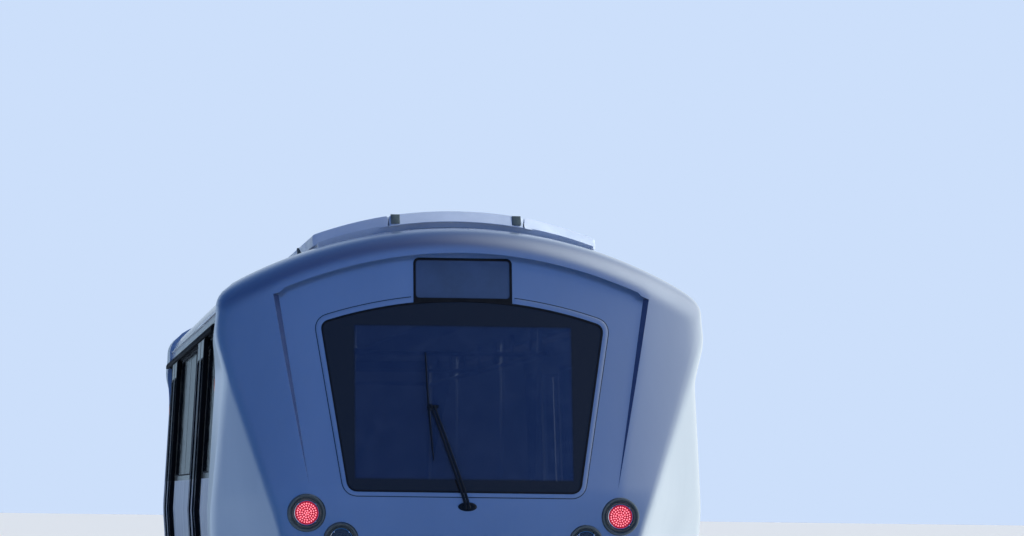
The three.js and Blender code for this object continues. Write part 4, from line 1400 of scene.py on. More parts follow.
@dataclass(frozen=True)
class EndCap(EndAssembly):
    """Cab end of the car with all that sits on its face."""

    cap: CapForm
    # Half width, radius of the corners, and lowest and highest height of the sign panel
    sign_half: float = 0.308
    sign_corner: float = 0.024
    sign_z: Pair = (3.196, 3.452)
    # Ends of the bores for the lamps, and rear of the sign's box
    bore_x: Pair = (7.9, 8.9)
    sign_rear: float = 7.62

    LAMPS = (Lamp(1.0, 1.813, 0.12, True), Lamp(0.78, 1.646, 0.11, False))

    def sign_outline(self, grow: float) -> Outline:
        """Outline of the sign panel.

        Args:
            grow: how far it is grown outwards.

        Returns:
            Points as (y, z).
        """
        half, low, high = self.sign_half + grow, self.sign_z[0] - grow, self.sign_z[1] + grow
        corners = ((half, low), (half, high), (-half, high), (-half, low))
        return arc_corners([(y, z, self.sign_corner) for y, z in corners], 6)

    def make(self) -> None:
        """Builds the shell with its openings, and all that fills them."""
        screen = Windscreen(self.end, self.cap)
        openings = (screen.outline(-0.02), self.sign_outline(-0.004))
        cutters = [self.cap.recess_cutter(), *[self.cap.opening(outline) for outline in openings]]
        for lamp in self.LAMPS:
            for side in (-1, 1):
                cutters.append(MeshPart())
                start, end = ((x, side * lamp.y, lamp.z) for x in self.bore_x)
                cutters[-1].rod(start, end, lamp.radius + 0.002, 64)
        piece = self.piece("cap_shell", (BODY_PAINT, LINING, CREASE_SHADE_PAINT), Slot.BODY, "end_cap", sharp=28)
        shell = piece.make(self.place(self.cap.shell()), weld=True)
        carve(shell, [self.place(cutter) for cutter in cutters])
        for face in shell.data.polygons:
            # Only the walls of the recess face inwards on the front of the cap. They take the painted crease
            # shade
            if face.normal.y * math.copysign(1, face.center.y) < -0.3 and face.normal.x * self.end.way > 0.3:
                face.material_index = 2
        piece.finish(shell)
        screen.make()
        Wiper(self.end, self.cap).make()
        self.make_sign(screen)
        self.make_lamps()

    def make_sign(self, screen: Windscreen) -> None:
        """Builds the blank sign panel, its box and its seal.

        Args:
            screen: windscreen under it.
        """
        part, seal = MeshPart(), MeshPart()
        outline = spaced(self.sign_outline(-0.001), 0.06)
        rear = [(self.sign_rear, y, z) for y, z in outline]
        part.skin(([self.cap.panel_point(y, z, -0.002) for y, z in outline], rear), around=True)
        part.fill(rear)
        low_z, high_z = self.sign_z
        corner = 0.012
        rows = []
        for z in np.linspace(low_z + 0.002, high_z - 0.002, 10):
            into = max(0.0, corner - min(z - low_z, high_z - z))
            half = self.sign_half - 0.001 - (corner - math.sqrt(corner**2 - into**2))
            rows.append([self.cap.panel_point(y, z, -0.001) for y in np.linspace(-half, half, 15)])
        part.skin(rows)
        self.build(part, "blank_sign_panel", (SIGN_ACRYLIC,), Slot.SIGN, "destination_sign")
        inner = spaced(self.sign_outline(-0.006), 0.04)
        self.cap.face_ring(inner, offset(inner, 0.016), 0.003, seal)
        # A filler closes the gap between the sign's seal and the windscreen's arched top
        half = self.sign_half + 0.01
        across = np.linspace(-half, half, 33)
        low = [(y, screen.arch_at(y) + 0.004) for y in across]
        high = [(y, low_z + 0.03 * max(0.0, abs(y) / half - 0.9) / 0.1) for y in across]
        self.cap.face_ring(low, high, 0.0028, seal, closed=False)
        self.build(seal, "sign_seal", (RUBBER,), Slot.SEAL)

    def make_lamps(self) -> None:
        """Builds the lit tail lamp and the dark head lamp on both sides."""
        for side in (-1, 1):
            car_side = next(place.name for place in SIDES if place.way == side * self.end.way)
            name = f"{self.end.name}_{car_side}"
            for lamp in self.LAMPS:
                part = MeshPart()
                lamp.build(part, self.cap, side)
                kind = "tail" if lamp.lit else "head"
                recipes = (BEZEL_CAST, CHROME, TAIL_LED if lamp.lit else DARK_LENS, TAIL_LED_TIP)
                nodes = (f"lamps_{name}",) if lamp.lit else ()
                Piece(f"{kind}_lamp_{name}", recipes, Slot.BEZEL, stands_for=nodes).build(self.place(part))


@dataclass(frozen=True)
class Roof:
    """Roof shell and the fairing on it."""

    half_length: float = WALL_END_X
    half_width: float = 1.538
    cantrail_z: float = CANTRAIL_Z
    top_z: float = 3.64
    # Radius of the crown and of the shoulder, and thickness of the shell
    radius: float = 3.0
    corner: float = 0.19
    thick: float = 0.06
    # Fairing: half length, half width, height, and radius of its top
    cowl_half: float = 7.195
    cowl_width: float = 0.93
    cowl_top: float = 3.794
    cowl_radius: float = 2.75
    # Its panels: thickness, number, places where they meet, gap, and length of their rounded edge
    band: float = 0.072
    panels: int = 10
    joint: float = 0.442
    gap: float = 0.003
    edge: float = 0.014
    # Height over which its ends slope back, and set-back of the outer end panels for each metre across
    slope: float = 0.068
    sweep: float = 0.47
    # Foot of the skirt and of the seal, half width of a pocket, and place and lean of the aerial
    base_z: float = 3.5
    pocket_half: float = 0.029
    aerial: Point = (6.6, -0.995, 3.504)
    lean: float = 0.33

    GUTTER = ((1.531, 3.128), (1.546, 3.124), (1.549, 3.13), (1.543, 3.142), (1.531, 3.14))
    # Pocket at the fairing's end, as (distance behind the end, z), and where the pockets stand across the car
    POCKET = ((0.001, 3.706), (0.06, 3.768), (0.1, 3.77), (0.1, 3.706))
    POCKETS_Y = (-0.398, 0.395)
    AERIAL = ((0.0, 0.03), (0.012, 0.028), (0.02, 0.014), (0.052, 0.008), (0.056, 0.003))

    def outline(self, inset: float) -> Outline:
        """Arch of the roof, from one lower edge to the other.

        Args:
            inset: how far inside the outer face it runs.

        Returns:
            Points as (y, z).
        """
        centre_z = self.top_z - self.radius
        arc_y = self.half_width - self.corner
        arc_z = centre_z + math.sqrt((self.radius - self.corner) ** 2 - arc_y**2)
        turn = math.atan2(arc_z - centre_z, arc_y)
        half = [(self.half_width - inset, self.cantrail_z)]
        for centre, radius, angles in (
            ((arc_y, arc_z), self.corner - inset, np.linspace(0, turn, 12)),
            ((0.0, centre_z), self.radius - inset, np.linspace(turn, math.pi / 2, 40)[1:]),
        ):
            half += [(centre[0] + radius * math.cos(t), centre[1] + radius * math.sin(t)) for t in angles]
        return [*half, *[(-y, z) for y, z in half[-2::-1]]]

    def make(self) -> None:
        """Builds the roof shell, its gutters, and the fairing."""
        along = (2 * self.half_length, 0.0, 0.0)
        part, trim = MeshPart(), MeshPart()
        ring = self.outline(0.0) + self.outline(self.thick)[::-1]
        part.prism([(-self.half_length, y, z) for y, z in ring], along)
        Piece("roof_skin", (ROOF_PAINT,), Slot.ROOF, stands_for=("roof",)).build(part)
        for side in (-1, 1):
            trim.prism([(-self.half_length, side * y, z) for y, z in self.GUTTER], along)
        Piece("roof_gutters", (ROOF_PAINT,), Slot.ROOF, bevel=0.001).build(trim)
        self.make_cowl()

    def make_cowl(self) -> None:
        """Builds the fairing: panels with sloping ends over a skirt, its seal, pockets and aerials."""
        panels, fittings = MeshPart(), MeshPart()
        step = 2 * self.cowl_half / self.panels
        inner = self.joint - self.gap
        outer = self.joint + self.gap
        for index in range(self.panels):
            low = index * step - self.cowl_half + (self.gap if index else 0.0)
            high = (index + 1) * step - self.cowl_half - (self.gap if index < self.panels - 1 else 0.0)
            for span in ((-self.cowl_width, -outer), (-inner, inner), (outer, self.cowl_width)):
                panels.loft([self.panel_ring(span, low, high, x) for x in self.panel_stations(low, high)])
        Piece("cowl_panels", (COWL_GEL,), Slot.COWL, stands_for=("roof_cowl",), sharp=40).build(panels)
        for name, drop, inset, recipe, slot in (
            ("cowl_skirt", self.band - 0.01, 0.03, COWL_GEL, Slot.ROOF),
            ("cowl_seal", 0.108, 0.022, RUBBER, Slot.SEAL),
        ):
            part = MeshPart()
            half, reach = self.cowl_width - inset, self.cowl_half - inset
            outline = [(y, self.cowl_at(y, drop)) for y in np.linspace(half, -half, 49)]
            outline += [(-half, self.base_z), (half, self.base_z)]
            part.prism([(-reach, y, z) for y, z in outline], (2 * reach, 0.0, 0.0))
            Piece(name, (recipe,), slot).build(part)
        for way in (-1, 1):
            for y in self.POCKETS_Y:
                low_y = y - self.pocket_half
                outline = [(way * (self.cowl_half - behind), low_y, z) for behind, z in self.POCKET]
                fittings.prism(outline, (0.0, 2 * self.pocket_half, 0.0))
            x, y, z = self.aerial
            fittings.turned(self.AERIAL, (way * x, way * y, z), (0.0, -self.lean * way, 1.0), 20)
        Piece("cowl_pockets_and_aerials", (POCKET_PLASTIC,), Slot.TRIM, bevel=0.002).build(fittings)

    def cowl_at(self, y: float, drop: float) -> float:
        """Returns the height of the fairing, some way below its outer face."""
        return self.cowl_top - self.cowl_radius + math.sqrt((self.cowl_radius - drop) ** 2 - y * y)

    def panel_stations(self, low: float, high: float) -> list[float]:
        """Places along a panel where its section is set.

        Args:
            low: lowest X of the panel.
            high: highest X of the panel.

        Returns:
            The places, with more of them on a sloping end.
        """
        edge = 0.004
        stations = [low, low + edge, high - edge, high]
        if abs(low + self.cowl_half) < edge:
            stations[1:2] = [low + self.slope / 2, low + self.slope, low + self.slope + edge]
        if abs(high - self.cowl_half) < edge:
            stations[-2:-1] = [high - self.slope - edge, high - self.slope, high - self.slope / 2]
        return stations

    def panel_ring(self, span: Pair, low_x: float, high_x: float, x: float) -> list[Point]:
        """Section of a fairing panel. The ends slope back, and the outer end panels are swept back.

        Args:
            span: lowest and highest Y.
            low_x: lowest X of the panel.
            high_x: highest X of the panel.
            x: place of the section along the car.

        Returns:
            Points of the section.
        """
        low, high = span
        inset = 0.004 if min(x - low_x, high_x - x) < 0.001 else 0.0
        behind = self.cowl_half - abs(x)
        drop = max(self.slope - behind, inset)
        fade = max(0.0, 1 - behind / 0.6)
        edge, turn = self.edge, self.edge * 0.3
        section = [(high - inset, max(edge, drop)), (high - turn - inset, max(turn, drop))]
        section += [(y, drop) for y in np.linspace(high - edge, low + edge, 30)]
        section += [(low + turn + inset, max(turn, drop)), (low + inset, max(edge, drop))]
        section += [(y, self.band) for y in np.linspace(low + inset, high - inset, 14)]
        sweep = math.copysign(self.sweep * fade, x)
        return [
            (x - sweep * max(0.0, abs(y) - self.joint), y, self.cowl_at(y, below)) for y, below in section
        ]


# Sides of the car


@dataclass(frozen=True)
class WallForm:
    """Cross-section of a side wall, on one side of the car."""

    side: Side
    thick: float = 0.08
    end_x: float = WALL_END_X
    # Lowest and highest height of the black window band
    band_z: Pair = (2.03, 3.0)

    # Height and half width of the skirt, waist and cantrail
    SECTION = ((0.7, 1.52), (1.81, 1.6), (CANTRAIL_Z, 1.54))
    WAIST_Z = SECTION[1][0]

    def y_at(self, z: float) -> float:
        """Returns the half width of the outer face at a height."""
        return float(np.interp(z, *zip(*self.SECTION)))

    def lay(self, outline: Sequence[Pair], out: float) -> list[Point]:
        """Returns an outline of (x, z) laid on the wall, at a distance from its outer face."""
        return [(x, self.side.way * (self.y_at(z) + out), z) for x, z in outline]

    def rows(self, stations: Sequence[float], heights: Sequence[float], out: float) -> list[list[Point]]:
        """Returns level rows of points on the wall, at a distance from its outer face."""
        return [self.lay([(x, z) for x in stations], out) for z in heights]

    def bar(self, part: MeshPart, span: Pair, heights: Pair, outs: Pair, tone: int = 0) -> None:
        """Adds a bar that follows the wall, with a bend at the waist.

        Args:
            part: mesh that takes it.
            span: its two ends along the car.
            heights: lowest and highest height.
            outs: where its two faces lie, outwards from the wall's outer face.
            tone: its tone.
        """
        low, high = heights
        start, end = min(span), max(span)
        line = [(start, z) for z in (low, *([self.WAIST_Z] if low < self.WAIST_Z < high else []), high)]
        part.prism([*self.lay(line, outs[1]), *self.lay(line[::-1], outs[0])], (end - start, 0.0, 0.0), tone)

    def band(self, part: MeshPart, inner: Outline, outer: Outline, base: float, rise: float) -> None:
        """Adds a flat ring that lies on the wall.

        Args:
            part: mesh that takes it.
            inner: its inner edge.
            outer: its outer edge.
            base: where its back lies, outwards from the wall's outer face.
            rise: its thickness.
        """
        part.ring(self.lay(inner, base), self.lay(outer, base), (0.0, self.side.way * rise, 0.0))

    def through(self, outline: Outline) -> MeshPart:
        """Solid that carries an outline right through the wall and its door leaves.

        Args:
            outline: points as (x, z).

        Returns:
            The solid.
        """
        part = MeshPart()
        part.prism([(x, self.side.way * 1.35, z) for x, z in outline], (0.0, self.side.way * 0.45, 0.0))
        return part


@dataclass(frozen=True)
class SideWall(Assembly):
    """One side wall with its windows, doorways, door tracks and seals."""

    form: WallForm
    window_z: Pair = (2.065, 2.975)
    window_radius: float = 0.07
    door_half: float = 0.85
    door_z: Pair = (0.91, 2.945)
    sill_z: float = 0.9295
    # Width of the frame behind a pane
    ledge: float = 0.022
    # Door track: half length, lowest and highest height, how far it stands out, and its slot for the hangers
    track_end: float = 7.18
    track_z: Pair = (2.991, 3.036)
    track_deep: float = 0.05
    track_slot: Pair = (0.0134, 0.0286)
    # Distance between the track's screws, and about half the length of a pane
    screw_step: float = 0.43
    pane: float = 0.8

    # Name, centre and half length of each window
    WINDOWS = (("front", 6.125, 0.8), ("middle", 0.0, 3.12), ("rear", -6.125, 0.8))
    DOORS = (("front", 4.2), ("rear", -4.2))
    SEAMS = (-6.95, -6.15, -2.36, -1.2, 0.0, 1.2, 2.36, 6.15, 6.95)
    # Marker light: its places along the car, its height, and steps outwards as (distance, scale)
    MARKERS = (-7.06, 7.06)
    MARKER_Z = 2.62
    RIM = ((0.0, 1.0), (0.0043, 1.0), (0.0048, 0.86))
    JEWEL = ((0.0048, 0.86), (0.005, 0.5), (0.005, 0.1))

    @property
    def suffix(self) -> str:
        """Ending of its names."""
        return self.form.side.name

    def window_outline(self, centre: float, half: float, shrink: float) -> Outline:
        """Outline of a window.

        Args:
            centre: X of its middle.
            half: half its length.
            shrink: how far the outline lies inside the opening.

        Returns:
            Points as (x, z).
        """
        low_z, high_z = self.window_z
        low = (centre - half + shrink, low_z + shrink)
        return rounded_box(low, (centre + half - shrink, high_z - shrink), self.window_radius)

    def make(self) -> None:
        """Builds the wall and what is fixed to it."""
        form = self.form
        low, high = form.SECTION[0][0], form.SECTION[-1][0]
        heights = [low, 0.99, 1.0, 1.4]
        heights += [form.WAIST_Z - 0.01, form.WAIST_Z, form.WAIST_Z + 0.01]
        band_low, band_high = form.band_z
        heights += [band_low, band_low + 0.004, 2.5, band_high, band_high + 0.004, high]
        stations = np.linspace(-form.end_x, form.end_x, 25)
        part = MeshPart()
        faces = [form.rows(stations, heights, out) for out in (0.0, -form.thick)]
        part.slab(*faces, ([int(z >= band_low) for z in heights], 2, 0, 0))
        recipes = (LOWER_PAINT, BAND_GLASS, LINING)
        piece = self.piece("side_panels", recipes, Slot.LOWER, "side_wall", sharp=20)
        wall = piece.make(part, weld=True)
        cutters = [form.through(self.window_outline(centre, half, 0.001)) for _, centre, half in self.WINDOWS]
        low_z, high_z = self.door_z
        for _, centre in self.DOORS:
            corners = ((centre - self.door_half, low_z), (centre + self.door_half, high_z))
            cutters.append(form.through(rounded_box(*corners, 0.03, 5)))
        cutters.append(MeshPart())
        for x in self.SEAMS:
            form.bar(cutters[-1], (x - 0.003, x + 0.003), (low - 0.01, band_low), (-0.004, 0.05))
        carve(wall, cutters)
        piece.finish(wall)
        self.make_track()
        self.make_windows()
        self.make_doorways()
        self.make_lights()

    def make_track(self) -> None:
        """Builds the cover over the door track, with the slot that the hangers run in."""
        way = self.form.side.way
        low, high = self.track_z
        slot_z = low + 0.026
        y_low, y_slot = self.form.y_at(low), self.form.y_at(slot_z)
        near, far = self.track_slot
        face, nose = self.form.y_at(high) - 0.004, y_low + self.track_deep
        profile = [
            (face, high), (face, low), (y_low + near, low), (y_slot + near, slot_z), (y_slot + far, slot_z),
            (y_low + far, low), (nose - 0.003, low), (nose, low + 0.004), (nose - 0.001, high - 0.02),
            (nose - 0.006, high - 0.008), (nose - 0.014, high),
        ]
        part = MeshPart()
        part.prism([(-self.track_end, way * y, z) for y, z in profile], (2 * self.track_end, 0.0, 0.0))
        screw = ((-0.001, 0.005), (0.003, 0.005), (0.004, 0.003))
        for x in np.arange(-16, 17) * self.screw_step:
            part.turned(screw, (x, way * (nose - 0.002), low + 0.016), (0.0, way, 0.0), 10)
        self.build(part, "door_track_cover", (BLACK_ANODISED,), Slot.TRIM, bevel=0.001)

    def make_windows(self) -> None:
        """Builds the panes, their seals, and the frames and mullions behind them."""
        form = self.form
        low, high = self.window_z
        seals, frames = MeshPart(), MeshPart()
        for place, centre, half in self.WINDOWS:
            pane = MeshPart()
            outline = self.window_outline(centre, half, 0.005)
            pane.loft([form.lay(outline, out) for out in (-0.0005, -0.01)])
            name = f"window_pane_{self.suffix}_{place}"
            node = (f"window_{self.suffix}_{place}",)
            Piece(name, (SIDE_GLASS,), Slot.GLASS, stands_for=node).build(pane)
            for part, shrink, width, base, rise in (
                (seals, 0.011, 0.011, -0.009, 0.0096),
                (frames, self.ledge, self.ledge + 0.006, -0.088, 0.078),
            ):
                inner = spaced(self.window_outline(centre, half, shrink), 0.4)
                form.band(part, inner, offset(inner, width), base, rise)
            panes = round(half / self.pane)
            for step in range(1, panes):
                x = centre - half + step * 2 * half / panes
                form.bar(frames, (x - 0.03, x + 0.03), (low + 0.01, high - 0.01), (-0.08, -0.0102))
                form.bar(seals, (x - 0.005, x + 0.005), (low + 0.006, high - 0.006), (-0.0098, 0.0003))
        self.build(seals, "window_seals", (RUBBER,), Slot.SEAL)
        self.build(frames, "window_frames", (BLACK_STEEL,), Slot.TRIM)

    def make_doorways(self) -> None:
        """Builds the rubber edges and the ribbed sills of the doorways."""
        form = self.form
        low_z, high_z = self.door_z
        depth = (-0.06, 0.001)
        seals, sills = MeshPart(), MeshPart()
        for _, centre in self.DOORS:
            for edge in (-1, 1):
                start = centre + edge * (self.door_half - 0.012)
                form.bar(seals, (start, start + edge * 0.0115), (low_z + 0.02, high_z - 0.001), depth)
            half = self.door_half - 0.013
            span = (centre - half, centre + half)
            form.bar(seals, span, (high_z - 0.014, high_z - 0.0005), depth)
            form.bar(sills, span, (low_z + 0.0005, self.sill_z), (-0.079, -0.001))
            ribs = (span[0] + 0.02, span[1] - 0.02)
            for step in range(7):
                y = -0.07 + step * 0.01
                form.bar(sills, ribs, (self.sill_z - 0.0005, self.sill_z + 0.003), (y, y + 0.005))
        self.build(seals, "doorway_seals", (RUBBER,), Slot.SEAL, bevel=0.001)
        self.build(sills, "doorway_sills", (CASING,), Slot.FRAME, bevel=0.0008)

    def make_lights(self) -> None:
        """Builds the amber marker lights beside the doorways."""
        part = MeshPart()
        way, z = self.form.side.way, self.MARKER_Z
        y = way * (self.form.y_at(z) - 0.004)
        for x in self.MARKERS:
            outline = rounded_box((x - 0.028, z - 0.07), (x + 0.028, z + 0.07), 0.026, 6)
            for tone, steps, end in ((0, self.RIM, 0), (1, self.JEWEL, -1)):
                rows = [
                    [(x + (u - x) * scale, y + way * out, z + (v - z) * scale) for u, v in outline]
                    for out, scale in steps
                ]
                part.skin(rows, tone, around=True)
                part.fill(rows[end], tone)
        self.build(part, "marker_lights", (RUBBER, MARKER_AMBER), Slot.LENS)


@dataclass(frozen=True)
class DoorLeaf(Assembly):
    """One outside-hung sliding leaf: its doorway's name and middle, and the way it opens."""

    form: WallForm
    doorway: str
    centre: float
    # Word for the leaf, and 1 where it stands ahead of the middle or -1 where behind it
    leaf: str
    way: int
    width: float = 0.897
    # Distance from the doorway's middle to the leaf's edge, and from the wall to its inner face
    meet: float = 0.003
    gap: float = 0.006
    thick: float = 0.03
    # Lower and upper edge, height of the glass, and width of the frame beside it
    z: Pair = (0.912, 2.985)
    glass_z: Pair = (1.56, 2.86)
    glass_side: float = 0.12
    # Width of the rubber edge, distance of the pull from the meeting edge, and its height
    rubber: float = 0.014
    pull_x: float = 0.07
    pull_z: float = 1.36
    # Top of the hangers inside the track
    hanger_z: float = 3.013

    # Rubber edge in section, as (share of its width, distance from the leaf's inner face)
    BULB = ((0.0, 0.004), (0.0, 0.026), (0.3, 0.0285), (1.0, 0.0285), (1.0, 0.0015), (0.3, 0.0015))
    PULL = ((-0.002, 0.03), (0.0015, 0.03), (0.0025, 0.027), (0.0005, 0.022), (0.0003, 0.004))

    @property
    def suffix(self) -> str:
        """Ending of its names."""
        return f"{self.form.side.name}_{self.doorway}_{self.leaf}"

    @property
    def body(self) -> str:
        """Body that the leaf's pieces ride on."""
        return f"leaf_{self.suffix}"

    def x_at(self, distance: float) -> float:
        """Returns the place along the car, at a distance from the leaf's meeting edge."""
        return self.centre + self.way * (self.meet + distance)

    def make(self) -> None:
        """Builds the leaf with the opening for its glass, and all that is fixed to it."""
        form = self.form
        band_low = form.band_z[0]
        low, high = self.z
        heights = [low, 1.2, 1.5, form.WAIST_Z, band_low, band_low + 0.004, 2.5, high]
        ends = sorted((self.x_at(self.rubber), self.x_at(self.width)))
        stations = np.linspace(*ends, 6)
        tones = [int(z >= band_low) for z in heights]
        part = MeshPart()
        faces = [form.rows(stations, heights, out) for out in (self.gap, self.gap + self.thick)]
        part.slab(*faces, (tones, tones, 0, 2))
        recipes = (LOWER_PAINT, BAND_GLASS, BLACK_ANODISED)
        piece = self.piece("door_leaf", recipes, Slot.LOWER, "door", bevel=0.0015, sharp=20)
        leaf = piece.make(part, weld=True)
        sides = sorted((self.x_at(self.glass_side), self.x_at(self.width - self.glass_side)))
        hole = rounded_box(*zip(sides, self.glass_z), 0.06)
        carve(leaf, [form.through(hole)])
        piece.finish(leaf)
        self.make_glass(hole)
        self.make_edges()

    def make_glass(self, hole: Outline) -> None:
        """Builds the leaf's pane and its seal.

        Args:
            hole: outline of the opening, as (x, z).
        """
        form = self.form
        pane, seal = MeshPart(), MeshPart()
        inner = offset(hole, -0.0005)
        middle = sum(x for x, _ in inner) / len(inner)
        # The pane bends with the wall, so it is built in level rows, one of them at the waist
        edges = [sorted((z, x) for x, z in inner if (x > middle) == right) for right in (False, True)]
        rows = []
        for z in sorted({round(z, 5) for _, z in inner} | {form.WAIST_Z}):
            ends = [(np.interp(z, *zip(*edge)), z) for edge in edges]
            rows.append([*form.lay(ends, 0.028), *form.lay(ends[::-1], 0.02)])
        pane.loft(rows)
        self.build(pane, "door_glass", (SIDE_GLASS,), Slot.GLASS)
        edge = spaced(hole, 0.2)
        form.band(seal, offset(edge, -0.012), offset(edge, -0.0004), 0.0282, 0.0065)
        self.build(seal, "door_glass_seal", (RUBBER,), Slot.SEAL, bevel=0.001)

    def make_edges(self) -> None:
        """Builds the rubber edge, the dark edge bar, the pull and the hangers."""
        form = self.form
        part = MeshPart()
        low, high = self.z
        rows = []
        for z in (low + 0.002, form.WAIST_Z, high - 0.002):
            y = form.y_at(z) + self.gap
            rows.append([(self.x_at(self.rubber * u), form.side.way * (y + v), z) for u, v in self.BULB])
        part.loft(rows)
        trim_z = (low + 0.004, high - 0.004)
        bar = (self.x_at(self.width - 0.034), self.x_at(self.width - 0.004))
        form.bar(part, bar, trim_z, (0.0359, 0.0385))
        if self.way > 0:
            # A flat lip on the fore leaf hides the gap between the two rubber edges
            form.bar(part, (self.x_at(-0.011), self.x_at(0.008)), trim_z, (0.0352, 0.0375))
        spot = form.lay([(self.x_at(self.pull_x), self.pull_z)], self.gap + self.thick)[0]
        part.turned(self.PULL, spot, (0.0, form.side.way, 0.0), 32, 1)
        middle = self.gap + self.thick / 2
        hanger = (high - 0.005, self.hanger_z), (middle - 0.007, middle + 0.007)
        for share in (0.2, 0.8):
            x = self.x_at(self.width * share)
            form.bar(part, (x - 0.06, x + 0.06), *hanger, 2)
        self.build(part, "door_edges", (RUBBER, CASING, BLACK_ANODISED), Slot.SEAL, bevel=0.0008)


# Inside the car


@dataclass(frozen=True)
class Saloon:
    """What fills the saloon: benches, poles, lights and lining."""

    floor_z: float = FLOOR_Z
    ceiling_z: float = CANTRAIL_Z
    # Half length of a bench, seats on it, gap between them, their thickness, and height of their raised sides
    bench_half: float = 2.9
    seats: int = 12
    seat_gap: float = 0.016
    shell: float = 0.012
    seat_rise: float = 0.022
    # Overhead rail: distance from the centre line, height, and half length
    rail_y: float = 0.62
    rail_z: float = 2.88
    rail_end: float = 6.9
    # Radius of the rail and of a pole, and play of their clamps
    rail: float = 0.017
    pole: float = 0.018
    play: float = 0.0005
    # Distance between the rail's hangers, and between the ceiling lights
    bay: float = 1.8
    # Distance of the lights from the centre line, and number, spacing and half width of the grille slats
    lights_y: float = 0.95
    slats: int = 120
    slat_step: float = 0.11
    slat_half: float = 0.16

    # Bench box and seat shell in section, as (distance from the centre line, z)
    BOX = ((0.985, FLOOR_Z), (1.32, FLOOR_Z), (1.395, 1.38), (1.38, 1.39), (0.975, 1.36), (0.96, 1.3))
    SHELL = (
        (0.93, 1.372), (0.925, 1.392), (0.945, 1.405), (1.02, 1.4), (1.12, 1.395), (1.22, 1.4), (1.3, 1.425),
        (1.338, 1.47), (1.352, 1.56), (1.362, 1.68), (1.372, 1.8), (1.378, 1.845), (1.392, 1.85),
    )
    POLES = (-6.3, -2.6, 2.6, 6.3)
    CROSS_BARS = (("rear", -6.3), ("middle", 0.0), ("front", 6.3))
    # Turned fittings, as (distance along their axis, radius)
    FOOT = ((0.0, 0.045), (0.006, 0.045), (0.012, 0.036), (0.014, 0.024), (0.03, 0.021))
    RAIL_END = ((-0.02, 0.017), (0.0, 0.0165), (0.006, 0.012), (0.008, 0.004))
    ROSE = ((0.0, 0.035), (0.006, 0.033), (0.012, 0.014))
    CLAMP = ((0.0, 0.0155), (0.004, 0.021), (0.05, 0.021), (0.055, 0.0155))

    def make(self) -> None:
        """Builds both sides of the saloon and what spans it."""
        for side in SIDES:
            self.make_bench(side)
            self.make_poles(side)
        self.make_cross_bars()
        self.make_ceiling()
        self.make_floor()

    def make_bench(self, side: Side) -> None:
        """Builds a bench: moulded shells on a closed box.

        Args:
            side: side of the car.
        """
        base, shells = MeshPart(), MeshPart()
        half = self.bench_half
        base.prism([(-half, side.way * y, z) for y, z in self.BOX], (2 * half, 0.0, 0.0))
        Piece(f"bench_box_{side.name}", (LINING,), Slot.LINING, bevel=0.006).build(base)
        pitch = 2 * half / self.seats
        length = pitch - self.seat_gap
        back = side.way * self.shell
        count = len(self.SHELL)
        for index in range(self.seats):
            start = index * pitch - half + self.seat_gap / 2
            rows, hidden = [], []
            for share in np.linspace(0, 1, 17):
                rise = self.seat_rise * math.exp(-min(share, 1 - share) * length / 0.03)
                row, rear = [], []
                for step, (y, z) in enumerate(self.SHELL):
                    up, along = step / (count - 1), step / count
                    spot = (start + length * share, side.way * (y - rise * up), z + rise * (1 - up))
                    row.append(spot)
                    into = (0.0, back * (0.2 + 0.8 * along), self.shell * (along - 1))
                    rear.append(tuple(a + b for a, b in zip(spot, into)))
                rows.append(row)
                hidden.append(rear)
            shells.slab(rows, hidden)
        node = (f"seats_{side.name}",)
        Piece(f"seat_shells_{side.name}", (SEAT_SHELL,), Slot.SEAT, stands_for=node, sharp=50).build(shells)

    def make_poles(self, side: Side) -> None:
        """Builds the overhead rail, its poles and their fittings.

        Args:
            side: side of the car.
        """
        part = MeshPart()
        y, z = side.way * self.rail_y, self.rail_z
        part.rod((-self.rail_end, y, z), (self.rail_end, y, z), self.rail, 24, 1)
        for way in (-1, 1):
            part.turned(self.RAIL_END, (way * self.rail_end, y, z), (way, 0.0, 0.0), 24, 1)
        for x in self.POLES:
            part.rod((x, y, self.floor_z), (x, y, self.ceiling_z), self.pole, 24)
            for end_z, axis in ((self.floor_z, UP), (self.ceiling_z, DOWN)):
                part.turned(self.FOOT, (x, y, end_z), axis, 28)
            for axis, radius in ((UP, self.pole), (AHEAD, self.rail)):
                bore = radius + self.play
                wide = bore + 0.0055
                part.turned([(-0.045, bore), (-0.04, wide), (0.04, wide), (0.045, bore)], (x, y, z), axis, 24)
        for x in np.arange(-3, 4) * self.bay:
            part.rod((x, y, z), (x, y, self.ceiling_z), 0.012, 16, 1)
            part.turned(self.ROSE, (x, y, self.ceiling_z), DOWN, 20)
        recipes, node = (POLE_STEEL, BLACK_ANODISED), (f"grab_poles_{side.name}",)
        Piece(f"poles_and_rails_{side.name}", recipes, Slot.POLE, stands_for=node).build(part)

    def make_cross_bars(self) -> None:
        """Builds the bars between the two rails, with a clamp at each end."""
        for name, x in self.CROSS_BARS:
            part = MeshPart()
            half = self.rail_y - (self.pole if x in self.POLES else self.rail) - self.play
            part.rod((x, -half, self.rail_z), (x, half, self.rail_z), 0.015, 20)
            for side in SIDES:
                place = (x, side.way * (half - 0.06), self.rail_z)
                part.turned(self.CLAMP, place, (0.0, side.way, 0.0), 24)
            node = (f"grab_cross_bar_{name}",)
            Piece(f"cross_bar_{name}", (BLACK_ANODISED,), Slot.POLE, stands_for=node).build(part)

